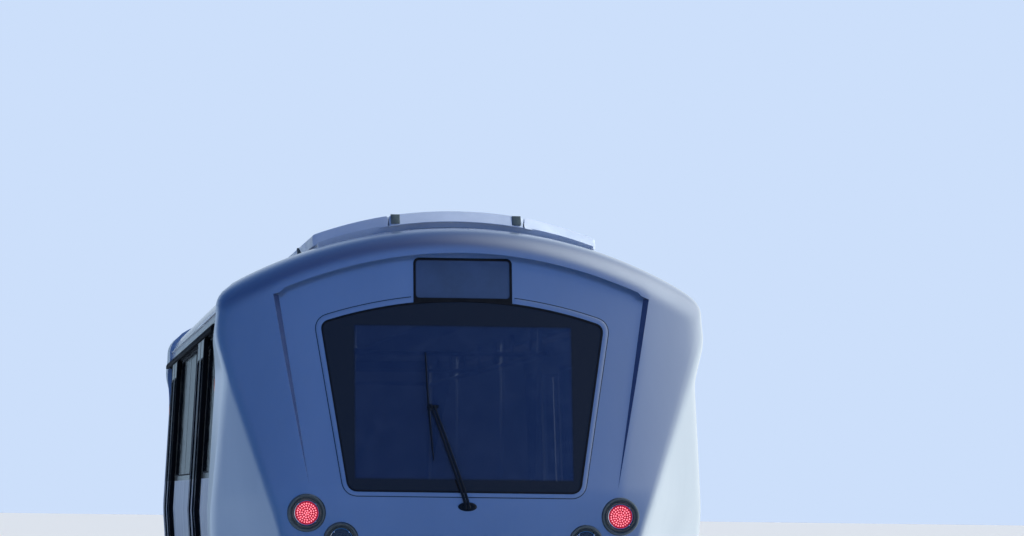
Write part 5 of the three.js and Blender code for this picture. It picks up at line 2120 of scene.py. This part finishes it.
    def make_ceiling(self) -> None:
        """Builds the ceiling's light strips and air grilles."""
        lights, grilles = MeshPart(), MeshPart()
        z = self.ceiling_z
        for y in (-self.lights_y, self.lights_y):
            for x in (np.arange(8) - 3.5) * self.bay:
                lights.block((x, y), (0.78, 0.07), (z - 0.022, z - 0.002), 1)
                grilles.block((x, y), (0.8, 0.09), (z - 0.014, z))
        for index in range(self.slats):
            x = (index - self.slats / 2) * self.slat_step
            grilles.box((x, -self.slat_half, z - 0.01), (x + 0.07, self.slat_half, z - 0.001))
        Piece("ceiling_grilles", (CASING,), Slot.LINING, bevel=0.002).build(grilles)
        Piece("ceiling_lights", (LINING, CEILING_LIGHT), Slot.LENS, bevel=0.004).build(lights)

    def make_floor(self) -> None:
        """Lays the floor covering over the slab, inside the benches and up to the doorways."""
        part = MeshPart()
        quarter = [(7.15, -1.36), (7.45, -1.1), (7.45, 1.1), (7.15, 1.36)]
        outline = [*quarter, *[(-x, y) for x, y in quarter[::-1]]]
        part.prism([(x, y, self.floor_z - 0.0001) for x, y in outline], (0.0, 0.0, 0.003))
        Piece("floor_covering", (FLOOR_COVER,), Slot.FLOOR).build(part)


@dataclass(frozen=True)
class Console(EndAssembly):
    """Cab desk behind the windscreen."""

    nose_x: float = NOSE_X
    # Half width of the desk, place of the gauges and of the buttons along the car, and the gauges' height
    half: float = 0.8
    gauges_x: float = 7.68
    buttons_x: float = 7.7
    top_z: float = 1.887
    # Foot and top of the controller's lever
    lever: tuple[Point, Point] = ((7.6, 0.58, 1.86), (7.62, 0.58, 1.97))

    # Desk in side view, as (set-back from the nose, z)
    DESK = (
        (1.0, FLOOR_Z), (0.56, FLOOR_Z), (0.53, 1.0), (0.435, 1.76), (0.45, 1.79), (0.62, 1.895), (0.66, 1.9),
        (0.7, 1.892), (0.98, 1.862), (1.0, 1.845),
    )
    SLOPE = (0.12, 0.0, 1.0)
    GAUGES_Y = (-0.42, -0.28, 0.28, 0.42)
    # Gauges, buttons and the knob of the controller
    GAUGE = ((-0.01, 0.05), (0.012, 0.05), (0.014, 0.045), (0.008, 0.042), (0.007, 0.004))
    BUTTON = ((-0.01, 0.012), (0.012, 0.012), (0.016, 0.008), (0.016, 0.001))
    KNOB = ((-0.024, 0.006), (-0.018, 0.018), (0.0, 0.025), (0.018, 0.018), (0.024, 0.005))

    def make(self) -> None:
        """Builds the desk, its gauges, buttons and controller."""
        desk, fittings = MeshPart(), MeshPart()
        desk.prism([(self.nose_x - back, -self.half, z) for back, z in self.DESK], (0.0, 2 * self.half, 0.0))
        self.build(desk, "desk", (FRAME_PAINT,), Slot.LINING, "console", bevel=0.008)
        for y in self.GAUGES_Y:
            fittings.turned(self.GAUGE, (self.gauges_x, y, self.top_z), self.SLOPE, 32)
        for y in np.linspace(-0.15, 0.15, 7):
            fittings.turned(self.BUTTON, (self.buttons_x, y, self.top_z - 0.002), self.SLOPE, 16, 1)
        fittings.rod(*self.lever, 0.012, 14)
        x, y, z = self.lever[1]
        fittings.turned(self.KNOB, (x + 0.002, y, z + 0.015), UP, 20, 1)
        self.build(fittings, "desk_fittings", (BLACK_STEEL, CHROME), Slot.TRIM)


# Running gear and underframe


@dataclass(frozen=True)
class Bogie(EndAssembly):
    """One bogie: frame, springs, wheelsets and linear motor. X runs from its pivot."""

    # Distance of the pivot from the middle of the car, half the wheelbase, and height of the axles
    centre_x: float = 5.6
    half_base: float = 0.85
    axle_z: float = 0.32
    # Side beam: distance from the centre line, half width, and thickness of its flanges
    beam_y: float = 1.0
    beam_half: float = 0.075
    flange: float = 0.02
    # How far the axle boxes reach inwards and outwards from the beam's middle
    box_in: float = 0.08
    box_out: float = 0.09
    # Distance of the two cross beams from the pivot
    transom_x: float = 0.3
    # Foot of the air springs, and bore of the axle boxes
    spring_z: float = 0.5
    bore: float = 0.0625
    # Brake discs: distance from the centre line, and radius
    disc_y: float = 0.52
    disc: float = 0.205
    # Motor: half length and half width, lowest and highest height, fins, and windings on each side
    motor_half: Pair = (0.98, 0.24)
    motor_z: Pair = (0.075, 0.2)
    fins: int = 46
    windings: int = 24

    # Side beam in side view: x, z, corner radius
    BEAM = (
        (-1.01, 0.4, 0.02), (-0.7, 0.4, 0.08), (-0.48, 0.33, 0.08), (0.48, 0.33, 0.08), (0.7, 0.4, 0.08),
        (1.01, 0.4, 0.02), (1.01, 0.47, 0.03), (0.76, 0.52, 0.1), (-0.76, 0.52, 0.1), (-1.01, 0.47, 0.03),
    )
    # Axle box in side view: distance from the axle, z, corner radius
    AXLE_BOX = ((-0.115, 0.205, 0.04), (0.115, 0.205, 0.04), (0.115, 0.455, 0.02), (-0.115, 0.455, 0.02))
    # Wheel and axle in section: distance from the centre line, radius
    WHEEL = (
        (0.3, 0.078), (0.49, 0.08), (0.497, 0.1), (0.498, 0.2), (0.502, 0.205), (0.538, 0.205),
        (0.542, 0.2), (0.543, 0.1), (0.55, 0.08), (0.668, 0.079), (0.685, 0.086), (0.735, 0.108),
        (0.728, 0.115), (0.722, 0.14), (0.706, 0.235), (0.69, 0.246), (0.685, 0.252), (0.685, 0.306),
        (0.688, 0.315), (0.696, 0.3199), (0.706, 0.317), (0.714, 0.302), (0.724, 0.2945), (0.74, 0.2925),
        (0.812, 0.2905), (0.82, 0.289), (0.825, 0.284), (0.825, 0.262), (0.821, 0.251), (0.8, 0.247),
        (0.79, 0.235), (0.78, 0.14), (0.786, 0.12), (0.806, 0.113), (0.843, 0.112), (0.848, 0.107),
        (0.86, 0.08), (0.88, 0.062), (0.9, 0.06), (1.07, 0.06), (1.075, 0.056), (1.075, 0.004),
    )
    # Air spring in section: distance above its foot, radius
    BELLOWS = (
        (0.0, 0.14), (0.02, 0.145), (0.024, 0.175), (0.04, 0.192), (0.065, 0.1995), (0.09, 0.195),
        (0.108, 0.178), (0.118, 0.168), (0.128, 0.178), (0.146, 0.195), (0.17, 0.1995), (0.195, 0.19),
        (0.212, 0.172), (0.222, 0.15), (0.226, 0.19), (0.2595, 0.19),
    )
    # Beam, two arms and shoe of a power collector: x, half length, near and far side, heights, tone
    COLLECTOR = (
        (0.0, 0.26, 1.06, 1.15, 0.35, 0.4, 0),
        (-0.035, 0.012, 1.14, 1.33, 0.357, 0.383, 1),
        (0.035, 0.012, 1.14, 1.33, 0.357, 0.383, 1),
        (0.0, 0.14, 1.24, 1.33, 0.34, 0.362, 1),
    )
    INSULATORS = tuple((x, 1.105, 0.398) for x in (-0.2, -0.1, 0.1, 0.2))
    SHOE_BOLTS = tuple((x, 1.285, 0.361) for x in (-0.11, 0.11))
    # Other turned parts, as (distance along their axis, radius)
    COVER = ((0.0, 0.055), (0.006, 0.054), (0.012, 0.045), (0.014, 0.02), (0.014, 0.001))
    COVER_BOLT = ((0.0, 0.011), (0.009, 0.011), (0.01, 0.009))
    BRAKE_CYLINDER = ((0.0, 0.06), (0.09, 0.06), (0.1, 0.05), (0.104, 0.02))
    INSULATOR = ((0.0, 0.02), (0.01, 0.026), (0.018, 0.02), (0.028, 0.026), (0.036, 0.018))
    SHOE_BOLT = ((0.0, 0.009), (0.008, 0.009), (0.01, 0.006))
    WINDING = ((0.0, 0.012), (0.018, 0.016), (0.022, 0.01))
    DISC_BOLT = ((0.0, 0.009), (0.006, 0.009), (0.007, 0.007))
    AXLE_BOLT = ((0.0, 0.008), (0.007, 0.008), (0.008, 0.006))

    @property
    def body(self) -> str:
        """Body that all but the wheelsets ride on."""
        return f"bogie_{self.end.name}"

    def place(self, part: MeshPart) -> MeshPart:
        """Returns a part of the bogie in its place under the car."""
        return self.end.turned(part.moved(Matrix.Translation((self.centre_x, 0.0, 0.0))))

    def make(self) -> None:
        """Builds the frame and all that it carries."""
        frame = MeshPart()
        for side in (-1, 1):
            self.add_beam(frame, side)
        for x in (-self.transom_x, self.transom_x):
            frame.block((x, 0.0), (0.08, self.beam_y), (0.43, 0.515))
            for y in (-0.45, 0.45):
                frame.block((x, y), (0.092, 0.012), (0.4, 0.515))
        self.build(frame, "bogie_beams", (BOGIE_PAINT,), Slot.BOGIE, "bogie_frame", bevel=0.005)
        self.make_springs()
        self.make_brakes()
        self.make_collectors()
        self.make_motor()
        for name, x in (("outer", self.half_base), ("inner", -self.half_base)):
            self.make_wheelset(f"{self.end.name}_{name}", x)

    def add_beam(self, part: MeshPart, side: int) -> None:
        """Adds a side beam with its flanges and axle boxes.

        Args:
            part: mesh that takes it.
            side: 1 for +Y and -1 for -Y.
        """
        outline = arc_corners(self.BEAM, 5)
        web = arc_corners([(x * 0.985, 0.012 + z * 0.97, r) for x, z, r in self.BEAM], 5)
        part.prism([(x, side * (self.beam_y - 0.055), z) for x, z in web], (0.0, side * 0.11, 0.0))
        for start in (self.beam_y - self.beam_half, self.beam_y + self.beam_half - self.flange):
            part.prism([(x, side * start, z) for x, z in outline], (0.0, side * self.flange, 0.0))
        for x in (-self.half_base, self.half_base):
            corners = [(x + u, v, radius) for u, v, radius in self.AXLE_BOX]
            square = spaced(arc_corners(corners, 5), 0.02)
            # The box has a bore that clears the journal
            hole = []
            for u, v in square:
                angle = math.atan2(v - self.axle_z, u - x)
                hole.append((x + self.bore * math.cos(angle), self.axle_z + self.bore * math.sin(angle)))
            near, far, near_hole, far_hole = (
                [(u, side * y, v) for u, v in line]
                for line in (square, hole)
                for y in (self.beam_y - self.box_in, self.beam_y + self.box_out)
            )
            for pair in ((near, far), (near_hole, far_hole), (near, near_hole), (far, far_hole)):
                part.skin(pair, around=True)

    def make_springs(self) -> None:
        """Builds the air springs, the springs beside the axle boxes, and the axle box covers."""
        bellows, steel = MeshPart(), MeshPart()
        for side in (-1, 1):
            bellows.turned(self.BELLOWS, (0.0, side * self.beam_y, self.spring_z), UP, 64)
            outer_y = side * (self.beam_y + self.box_out)
            for x in (-self.half_base, self.half_base):
                for shift in (-0.085, 0.085):
                    centre = (x + shift, side * (self.beam_y + 0.1), 0.395)
                    steel.tube(coil(centre, 0.022, 5, 0.0022), 0.005, 6)
                steel.turned(self.COVER, (x, outer_y, self.axle_z), (0.0, side, 0.0), 32)
                for u, v in circle((x, self.axle_z), 0.075, 6):
                    steel.turned(self.COVER_BOLT, (u, outer_y - side * MM, v), (0.0, side, 0.0), 6)
        self.build(bellows, "air_spring_bellows", (RUBBER,), Slot.SEAL)
        self.build(steel, "axle_box_covers", (FORGED_STEEL,), Slot.BOGIE)

    def make_brakes(self) -> None:
        """Builds the brake calipers over the discs."""
        part = MeshPart()
        z = self.axle_z
        for way in (-1, 1):
            for side in (-1, 1):
                y = side * self.disc_y
                # Two arms beside the disc, and the body that carries them
                for near, far, mid, wide, deep in (
                    (0.12, self.disc + 0.04, y - 0.05, 0.014, 0.07),
                    (0.12, self.disc + 0.04, y + 0.05, 0.014, 0.07),
                    (self.disc + 0.012, self.disc + 0.1, y, 0.075, 0.06),
                ):
                    low, high = (way * (self.half_base - distance) for distance in (near, far))
                    part.box((low, mid - wide, z - deep), (high, mid + wide, z + deep))
                hanger_x, cylinder_x = (way * (self.half_base - self.disc - out) for out in (0.05, 0.1))
                part.rod((hanger_x, y, z + 0.05), (hanger_x, y, 0.45), 0.02)
                part.rod((hanger_x, y, 0.445), (way * self.transom_x, y, 0.47), 0.024)
                part.turned(self.BRAKE_CYLINDER, (cylinder_x, y, z), (-way, 0.0, 0.0), 24)
        self.build(part, "brake_calipers", (BOGIE_PAINT,), Slot.BOGIE, bevel=0.004)

    def make_collectors(self) -> None:
        """Builds the power collector shoes outside the side beams."""
        part = MeshPart()
        for side in (-1, 1):
            for x, half, near, far, low, high, tone in self.COLLECTOR:
                part.box((x - half, side * near, low), (x + half, side * far, high), tone)
            for x, y, z in self.INSULATORS:
                part.turned(self.INSULATOR, (x, side * y, z), UP, 20, 2)
            for x, y, z in self.SHOE_BOLTS:
                part.turned(self.SHOE_BOLT, (x, side * y, z), UP, 6, 1)
        recipes = (BOGIE_PAINT, FORGED_STEEL, RUBBER)
        self.build(part, "power_collectors", recipes, Slot.BOGIE, bevel=0.002)

    def make_motor(self) -> None:
        """Builds the linear motor: finned core, end windings, hangers and terminal box."""
        part = MeshPart()
        half_x, half_y = self.motor_half
        low, high = self.motor_z
        middle = (0.0, 0.0)
        part.block(middle, (half_x, half_y), (low, low + 0.05))
        part.block(middle, (half_x - 0.03, half_y - 0.025), (low + 0.05, high - 0.02))
        for x in np.linspace(0.05 - half_x, half_x - 0.05, self.fins):
            part.block((x, 0.0), (0.006, half_y - 0.006), (low + 0.045, high))
        for side in (-1, 1):
            for x in np.linspace(0.08 - half_x, half_x - 0.08, self.windings):
                part.turned(self.WINDING, (x, side * (half_y - 0.024), low + 0.07), (0.0, side, 0.0), 12, 1)
        for x in (-self.transom_x, self.transom_x):
            for y in (-0.15, 0.15):
                part.block((x, y), (0.04, 0.03), (0.19, 0.4297), 1)
                part.block((x, y), (0.065, 0.05), (high - 0.004, high + 0.012), 1)
        part.block(middle, (0.13, 0.08), (high - 0.01, high + 0.06))
        recipes = (CASING, FORGED_STEEL)
        self.build(part, "linear_motor_core", recipes, Slot.MOTOR, "linear_motor", bevel=0.002)

    def tone_between(self, first: Pair, second: Pair) -> int:
        """Tone of one step in the wheel's section.

        Args:
            first: start of the step, as (distance from the centre line, radius).
            second: end of the step.

        Returns:
            1 on the tread, 2 on a brake disc, or 0.
        """
        for tone, near, far, inner in ((1, 0.712, 0.822, 0.28), (2, 0.497, 0.544, 0.09)):
            if all(near < abs(y) < far and radius > inner for y, radius in (first, second)):
                return tone
        return 0

    def make_wheelset(self, name: str, x: float) -> None:
        """Builds an axle with its wheels and brake discs.

        Args:
            name: name of the CAD wheelset, without its first word.
            x: distance of the axle from the pivot.
        """
        part = MeshPart()
        profile = [*[(-y, radius) for y, radius in reversed(self.WHEEL)], *self.WHEEL]
        tones = [self.tone_between(*step) for step in zip(profile, profile[1:])]
        middle = (x, self.axle_z)
        part.turned(profile, (x, 0.0, self.axle_z), (0.0, 1.0, 0.0), 96, tones)
        for side in (-1, 1):
            for bolt, y, radius, count, tone in (
                (self.DISC_BOLT, self.disc_y + 0.0225, 0.165, 12, 0),
                (self.AXLE_BOLT, 1.0745, 0.032, 3, 2),
            ):
                for u, v in circle(middle, radius, count):
                    part.turned(bolt, (u, side * y, v), (0.0, side, 0.0), 6, tone)
        recipes, node = (FORGED_STEEL, TREAD_STEEL, CHROME), (f"wheelset_{name}",)
        piece = Piece(f"axle_and_wheels_{name}", recipes, Slot.WHEEL, f"wheels_{name}", node, sharp=35)
        piece.build(self.place(part))


@dataclass(frozen=True)
class EquipmentBox:
    """Equipment box hung under the floor, with doors, hinges, knobs and lifting eyes."""

    # Name of its CAD node, whether its side doors have louvres, and doors along each side
    name: str
    vents: bool
    doors: int
    # Depth of a door
    inset: float = 0.018

    KNOB = ((0.0, 0.016), (0.006, 0.016), (0.008, 0.012))
    EYE = ((0.0, 0.02), (0.012, 0.02), (0.014, 0.016))

    def make(self) -> None:
        """Builds the box round its CAD solid's size."""
        low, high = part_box(self.name)
        inset = self.inset
        part = MeshPart()
        step = Vector((inset, inset, 0.004))
        part.box(low + step, high - Vector((inset, inset, 0.03)))
        part.box((low.x, low.y, high.z - 0.045), high, 1)
        width = (high.x - low.x - 0.06) / self.doors
        for side, face in ((-1, low.y), (1, high.y)):
            root = face - side * 0.002
            for index in range(self.doors):
                start = low.x + 0.036 + index * width
                end = start + width - 0.012
                part.box((start, face, low.z + 0.02), (end, face - side * inset, high.z - 0.055))
                for x in (start + 0.08, end - 0.08):
                    hinge = (x + 0.03, face + side * 0.006, high.z - 0.05)
                    part.box((x - 0.03, root, high.z - 0.075), hinge, 2)
                    part.turned(self.KNOB, (x, face, low.z + 0.05), (0.0, side, 0.0), 16, 2)
                for slat in range(9) if self.vents and index % 2 == 0 else ():
                    z = low.z + 0.09 + slat * 0.028
                    part.box((start + 0.07, root, z), (end - 0.07, face + side * 0.007, z + 0.012), 1)
        for x in (low.x + 0.12, high.x - 0.12):
            for y in (low.y + 0.05, high.y - 0.05):
                part.turned(self.EYE, (x, y, low.z + 0.004), DOWN, 6, 2)
        for x in np.linspace(low.x + 0.15, high.x - 0.15, 12):
            part.box((x - 0.008, low.y + 0.1, low.z), (x + 0.008, high.y - 0.1, low.z + 0.006))
        recipes = (CASING, FRAME_PAINT, BLACK_STEEL)
        Piece(f"{self.name}_case", recipes, Slot.FRAME, stands_for=(self.name,), bevel=0.003).build(part)


@dataclass(frozen=True)
class EndGear(EndAssembly):
    """Anti-climber and coupler at an end."""

    # Anti-climber: rear, front and rib front, half width, lowest and highest height
    beam_x: Point = (8.0503, 8.3, 8.35)
    beam_half: float = 0.78
    beam_z: Pair = (0.762, 0.842)
    # Height of the drawbar, place of the coupler's face, and height of its middle
    coupler_z: float = 0.64
    face_x: float = 8.78
    face_z: float = 0.635
    # Rear end of the drawbar, and its pocket: ends, near and far side of a cheek, and top
    drawbar_x: float = 7.6
    pocket_x: Pair = (7.35, 7.65)
    pocket_y: Pair = (0.075, 0.17)
    pocket_top: float = 0.7597

    # Rib of the anti-climber, as (distance behind its front, height above its foot)
    RIB = ((0.051, 0.0), (0.004, 0.0), (0.0, 0.004), (0.0, 0.016), (0.004, 0.02), (0.051, 0.02))
    BUFFERS_X = (7.66, 7.75, 7.84)
    # Stations of the coupler head: x, scale
    HEAD = ((8.54, 0.8), (8.6, 0.92), (8.68, 0.97), (8.7, 1.0), (8.786, 1.0), (8.79, 0.985))
    # Turned parts, as (distance along their axis, radius)
    BEAM_BOLT = ((0.0, 0.014), (0.01, 0.014), (0.012, 0.011))
    DRAWBAR = ((0.0, 0.05), (0.03, 0.068), (0.9, 0.07), (0.945, 0.09), (0.96, 0.09))
    BUFFER_RING = ((0.0, 0.075), (0.012, 0.086), (0.038, 0.086), (0.05, 0.075))
    PIVOT = ((-0.12, 0.035), (0.1, 0.035), (0.105, 0.03))
    CONE = ((0.0, 0.052), (0.012, 0.05), (0.05, 0.036), (0.066, 0.02), (0.07, 0.008))
    CUP = ((0.0, 0.058), (0.0125, 0.056), (0.0125, 0.046), (0.004, 0.03), (0.004, 0.003))
    FACE_BOLT = ((0.0, 0.01), (0.012, 0.01), (0.013, 0.008))

    def make(self) -> None:
        """Builds the anti-climber and the coupler."""
        self.make_beam()
        self.make_coupler()

    def make_beam(self) -> None:
        """Builds the ribbed anti-climber with its bolts."""
        rear, front, ribs = self.beam_x
        low, high = self.beam_z
        beam = MeshPart()
        beam.box((rear, -self.beam_half, low), (front, self.beam_half, high))
        for z in (low, low + 0.03, low + 0.06):
            rib = [(ribs - behind, -self.beam_half, z + rise) for behind, rise in self.RIB]
            beam.prism(rib, (0.0, 2 * self.beam_half, 0.0))
        for y in np.linspace(-0.66, 0.66, 6):
            beam.turned(self.BEAM_BOLT, (rear + 0.1, y, high), UP, 6)
        self.build(beam, "anti_climber", (FRAME_PAINT,), Slot.FRAME, "bumper", bevel=0.003)

    def make_coupler(self) -> None:
        """Builds the drawbar in its pocket, the buffer rings and the coupler head."""
        part = MeshPart()
        part.turned(self.DRAWBAR, (self.drawbar_x, 0.0, self.coupler_z), AHEAD)
        for x in self.BUFFERS_X:
            part.turned(self.BUFFER_RING, (x, 0.0, self.coupler_z), AHEAD, 32, 1)
        (rear, front), (near, far) = self.pocket_x, self.pocket_y
        for low_y, high_y, low_z in ((-far, -near, 0.56), (near, far, 0.56), (-far, far, 0.71)):
            part.box((rear, low_y, low_z), (front, high_y, self.pocket_top), 1)
        part.box((7.42, -0.08, 0.6), (7.62, 0.08, 0.68))
        part.turned(self.PIVOT, (7.55, 0.0, 0.66), UP, 20)
        face, middle = rounded_box((-0.165, -0.11), (0.165, 0.11), 0.03, 5), self.face_z
        part.loft([[(x, y * scale, middle + v * scale) for y, v in face] for x, scale in self.HEAD])
        part.turned(self.CONE, (self.face_x, -0.09, 0.665), AHEAD, 28)
        part.turned(self.CUP, (self.face_x, 0.09, 0.665), AHEAD, 28, 1)
        for y in (-0.14, 0.14):
            for z in (0.55, 0.72):
                part.turned(self.FACE_BOLT, (self.face_x, y, z), AHEAD, 6, 1)
        part.box((8.6, -0.12, 0.745), (8.77, 0.12, 0.752), 1)
        recipes = (FORGED_STEEL, BOGIE_PAINT)
        self.build(part, "coupler_head", recipes, Slot.COUPLER, "coupler", bevel=0.003)


@dataclass(frozen=True)
class Pipework:
    """Air pipes, cable trunking and reservoirs under the floor."""

    pipe_z: float = 0.84
    pipe_end: float = 4.4
    # Trunking: distance from the centre line, half length, and lowest and highest height
    trunk_y: float = 1.22
    trunk_half: float = 7.0
    trunk_z: Pair = (0.79, 0.865)
    # Reservoirs: distance from the centre line, height, and distance of the straps from their middle
    tank_y: float = 0.62
    tank_z: float = 0.62
    strap_x: float = 0.36

    PIPES_Y = (-0.42, -0.36, 0.36, 0.42, 0.48)
    TANK = (
        (-0.62, 0.02), (-0.6, 0.08), (-0.55, 0.125), (-0.5, 0.14), (0.5, 0.14), (0.55, 0.125), (0.6, 0.08),
        (0.62, 0.02),
    )
    STRAP = ((-0.02, 0.1405), (-0.02, 0.144), (0.02, 0.144), (0.02, 0.1405))

    def make(self) -> None:
        """Builds the pipes, the trunking with its clips, and the tanks with their straps."""
        part = MeshPart()
        for y in self.PIPES_Y:
            part.tube([(x, y, self.pipe_z) for x in (-self.pipe_end, -3.2, 3.2, self.pipe_end)], 0.014, 10, 1)
        for y in (-self.trunk_y, self.trunk_y):
            part.block((0.0, y), (self.trunk_half, 0.06), self.trunk_z)
            for x in np.linspace(0.2 - self.trunk_half, self.trunk_half - 0.2, 18):
                part.block((x, y), (0.015, 0.064), (self.trunk_z[0] - 0.004, self.trunk_z[1] + 0.003), 1)
        for y in (-self.tank_y, self.tank_y):
            part.turned(self.TANK, (0.0, y, self.tank_z), AHEAD, 32, 2)
            for x in (-self.strap_x, self.strap_x):
                part.turned(self.STRAP, (x, y, self.tank_z), AHEAD, 32, 1)
                part.block((x, y), (0.02, 0.03), (0.75, 0.872), 1)
        recipes = (CASING, BLACK_STEEL, FRAME_PAINT)
        Piece("underfloor_pipes_and_tanks", recipes, Slot.FRAME, bevel=0.002).build(part)


# Studio


@dataclass(frozen=True)
class Lobe:
    """Light that comes from one direction of the surroundings."""

    way: Point
    # Cosines of the angles where it starts and where it is whole
    start: float
    whole: float
    # Whether it lies near the horizon only
    low: bool
    # Linear colour
    colour: Point


@dataclass(frozen=True)
class Studio:
    """Floor, backdrop, lights and camera."""

    # Where the photograph was taken from, and its focal length in pixels of its width
    camera_place: Point = (53.80, -2.815, 1.904)
    focal: float = 7151.7
    photo_width: int = 1024
    # Image point at which the car's lengthwise lines meet, from the centre, in pixels
    vanish: Pair = (-488.4, 233.6)
    # Clockwise roll of the picture in degrees
    roll: float = 0.722
    sky: str = "#ccdffb"
    # Linear colours of the light from all round, at the horizon and from above
    low_light: Point = (0.03, 0.12, 0.35)
    high_light: Point = (0.0015, 0.024, 0.15)
    lobes: tuple[Lobe, ...] = (
        Lobe((0.9, 0.05, 0.43), 0.2, 0.9, False, (0.075, 0.17, 0.46)),
        Lobe((-0.36, 0.8, 0.48), 0.56, 0.95, False, (0.92, 0.99, 1.1)),
        Lobe((-1.0, 0.0, 0.0), 0.1, 0.75, True, (0.43, 0.57, 0.78)),
        Lobe((-0.5, 0.87, 0.0), 0.3, 0.95, True, (1.28, 1.38, 1.4)),
        Lobe((-0.9975, -0.07, 0.0), 0.9962, 0.9986, False, (0.17, 0.24, 0.32)),
    )
    floor_colour: str = "#ebe5da"
    # Half length of the floor's sides
    floor_half: float = 700.0
    # Key light: direction that it comes from, strength, how wide it looks in degrees, linear colour
    key_from: Point = (-0.2, 0.74, 0.64)
    key_strength: float = 3.6
    key_angle: float = 44.0
    key_colour: Point = (0.9, 0.96, 1.0)
    # Light strips of the saloon: length, width, place, power in watts, linear colour
    saloon_size: Pair = (12.6, 1.2)
    saloon_place: Point = (0.0, 0.0, 3.03)
    saloon_power: float = 75.0
    saloon_colour: Point = (0.75, 0.88, 1.0)

    def make(self) -> None:
        """Builds the stage, in order."""
        self.make_camera()
        self.make_backdrop()
        self.make_floor()
        self.make_lights()

    def make_camera(self) -> None:
        """Sets up the camera from the photograph's vanishing point and focal length."""
        side, drop = self.vanish
        yaw = math.atan2(-side, self.focal)
        pitch = math.atan2(drop, math.hypot(self.focal, side))
        forward = Vector((-math.cos(yaw) * math.cos(pitch), math.sin(yaw) * math.cos(pitch), math.sin(pitch)))
        right = forward.cross(Vector(UP)).normalized()
        up = right.cross(forward)
        turn = math.radians(self.roll)
        right_turned = right * math.cos(turn) + up * math.sin(turn)
        up_turned = up * math.cos(turn) - right * math.sin(turn)
        data = bpy.data.cameras.new("photograph_view")
        data.sensor_width = 36.0
        data.lens = self.focal / self.photo_width * data.sensor_width
        data.clip_end = 2000.0
        camera = add_object("photograph_view", data)
        axes = Matrix((right_turned, up_turned, -forward)).transposed().to_4x4()
        camera.matrix_world = Matrix.Translation(self.camera_place) @ axes
        bpy.context.scene.camera = camera

    def make_backdrop(self) -> None:
        """Gives the world its pale backdrop and its soft blue light from all round."""
        world = bpy.data.worlds.new("studio")
        bpy.context.scene.world = world
        world.use_nodes = True
        tree = world.node_tree
        path = add_node(tree, "LightPath", "Is Camera Ray")
        toward = add_node(tree, "TexCoord", "Generated")

        def share_of(way: Point, start: float, whole: float) -> Socket:
            """How much of a light comes from each direction.

            Args:
                way: direction where it is strongest.
                start: cosine of the angle from there where it starts.
                whole: cosine of the angle where it is whole.

            Returns:
                Socket from 0 to 1.
            """
            dot = {"operation": "DOT_PRODUCT", 1: way}
            cosine = add_node(tree, "VectorMath", "Value", dot, {0: toward})
            settings = {"interpolation_type": "SMOOTHSTEP", "From Min": start, "From Max": whole}
            return add_node(tree, "MapRange", 0, settings, {"Value": cosine})

        # Light from all round deepens upwards, and is pale behind the car on the key light's side
        low = share_of(DOWN, -0.5, -0.12)
        ends = {"data_type": "RGBA", 6: (*self.low_light, 1.0), 7: (*self.high_light, 1.0)}
        light = add_node(tree, "Mix", 2, ends, {"Factor": share_of(UP, 0.1, 1.0)})
        for lobe in self.lobes:
            share = share_of(lobe.way, lobe.start, lobe.whole)
            if lobe.low:
                share = add_node(tree, "Math", 0, {"operation": "MULTIPLY"}, {0: share, 1: low})
            shade = {"data_type": "RGBA", 7: (*lobe.colour, 1.0)}
            light = add_node(tree, "Mix", 2, shade, {"Factor": share, 6: light})
        shade = {"data_type": "RGBA", 7: linear(self.sky)}
        colour = add_node(tree, "Mix", 2, shade, {"Factor": path, 6: light})
        tree.links.new(colour, tree.nodes["Background"].inputs["Color"])

    def make_floor(self) -> None:
        """Lays a plain pale floor, large enough for every view."""
        half = self.floor_half
        mesh = bpy.data.meshes.new("studio_floor")
        corners = [(-half, -half, 0), (half, -half, 0), (half, half, 0), (-half, half, 0)]
        mesh.from_pydata(corners, [], [(0, 1, 2, 3)])
        floor = add_object("studio_floor", mesh)
        shade = self.floor_colour
        recipe = Finish("studio_floor", shade, shade, 0.9, cloud_mm=2000, grain=0.0, spread=0.0)
        mesh.materials.append(paint(recipe))
        # Paint and glass mirror the light from all round instead of the floor
        floor.visible_glossy = False

    def make_lights(self) -> None:
        """Sets one large soft key light, and the light of the saloon."""
        data = bpy.data.lights.new("key", "SUN")
        data.energy = self.key_strength
        data.angle = math.radians(self.key_angle)
        data.color = self.key_colour
        key = add_object("key", data)
        # Mirrored in the paint, a light of this size would be one white patch
        key.visible_glossy = False
        key.rotation_euler = Vector(self.key_from).to_track_quat("Z", "Y").to_euler()
        data = bpy.data.lights.new("saloon", "AREA")
        data.shape = "RECTANGLE"
        data.size, data.size_y = self.saloon_size
        data.energy = self.saloon_power
        data.color = self.saloon_colour
        saloon = add_object("saloon", data)
        saloon.location = self.saloon_place
        saloon.visible_camera = False


def main() -> None:
    """Builds the studio and dresses the car, one sub-assembly after another."""
    logging.basicConfig(level=logging.INFO, format="%(name)s: %(message)s")
    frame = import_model()
    bpy.context.scene.view_settings.view_transform = "Standard"
    Studio().make()
    cap = CapForm()
    for end in ENDS:
        for assembly in (EndCap(end, cap), Console(end), Bogie(end), EndGear(end)):
            assembly.make()
    Roof().make()
    for side in SIDES:
        wall = SideWall(WallForm(side))
        wall.make()
        for doorway, centre in wall.DOORS:
            for place, way in (("fore", 1), ("aft", -1)):
                DoorLeaf(wall.form, doorway, centre, place, way).make()
    Saloon().make()
    EquipmentBox("power_equipment_box", True, 4).make()
    EquipmentBox("battery_box", False, 3).make()
    Pipework().make()
    for node, recipe in (("underframe", FRAME_PAINT), ("ceiling", LINING)):
        materials = frame["nodes"][node].data.materials
        materials.clear()
        materials.append(paint(recipe))
    bpy.context.view_layer.update()


if __name__ == "__main__":
    main()
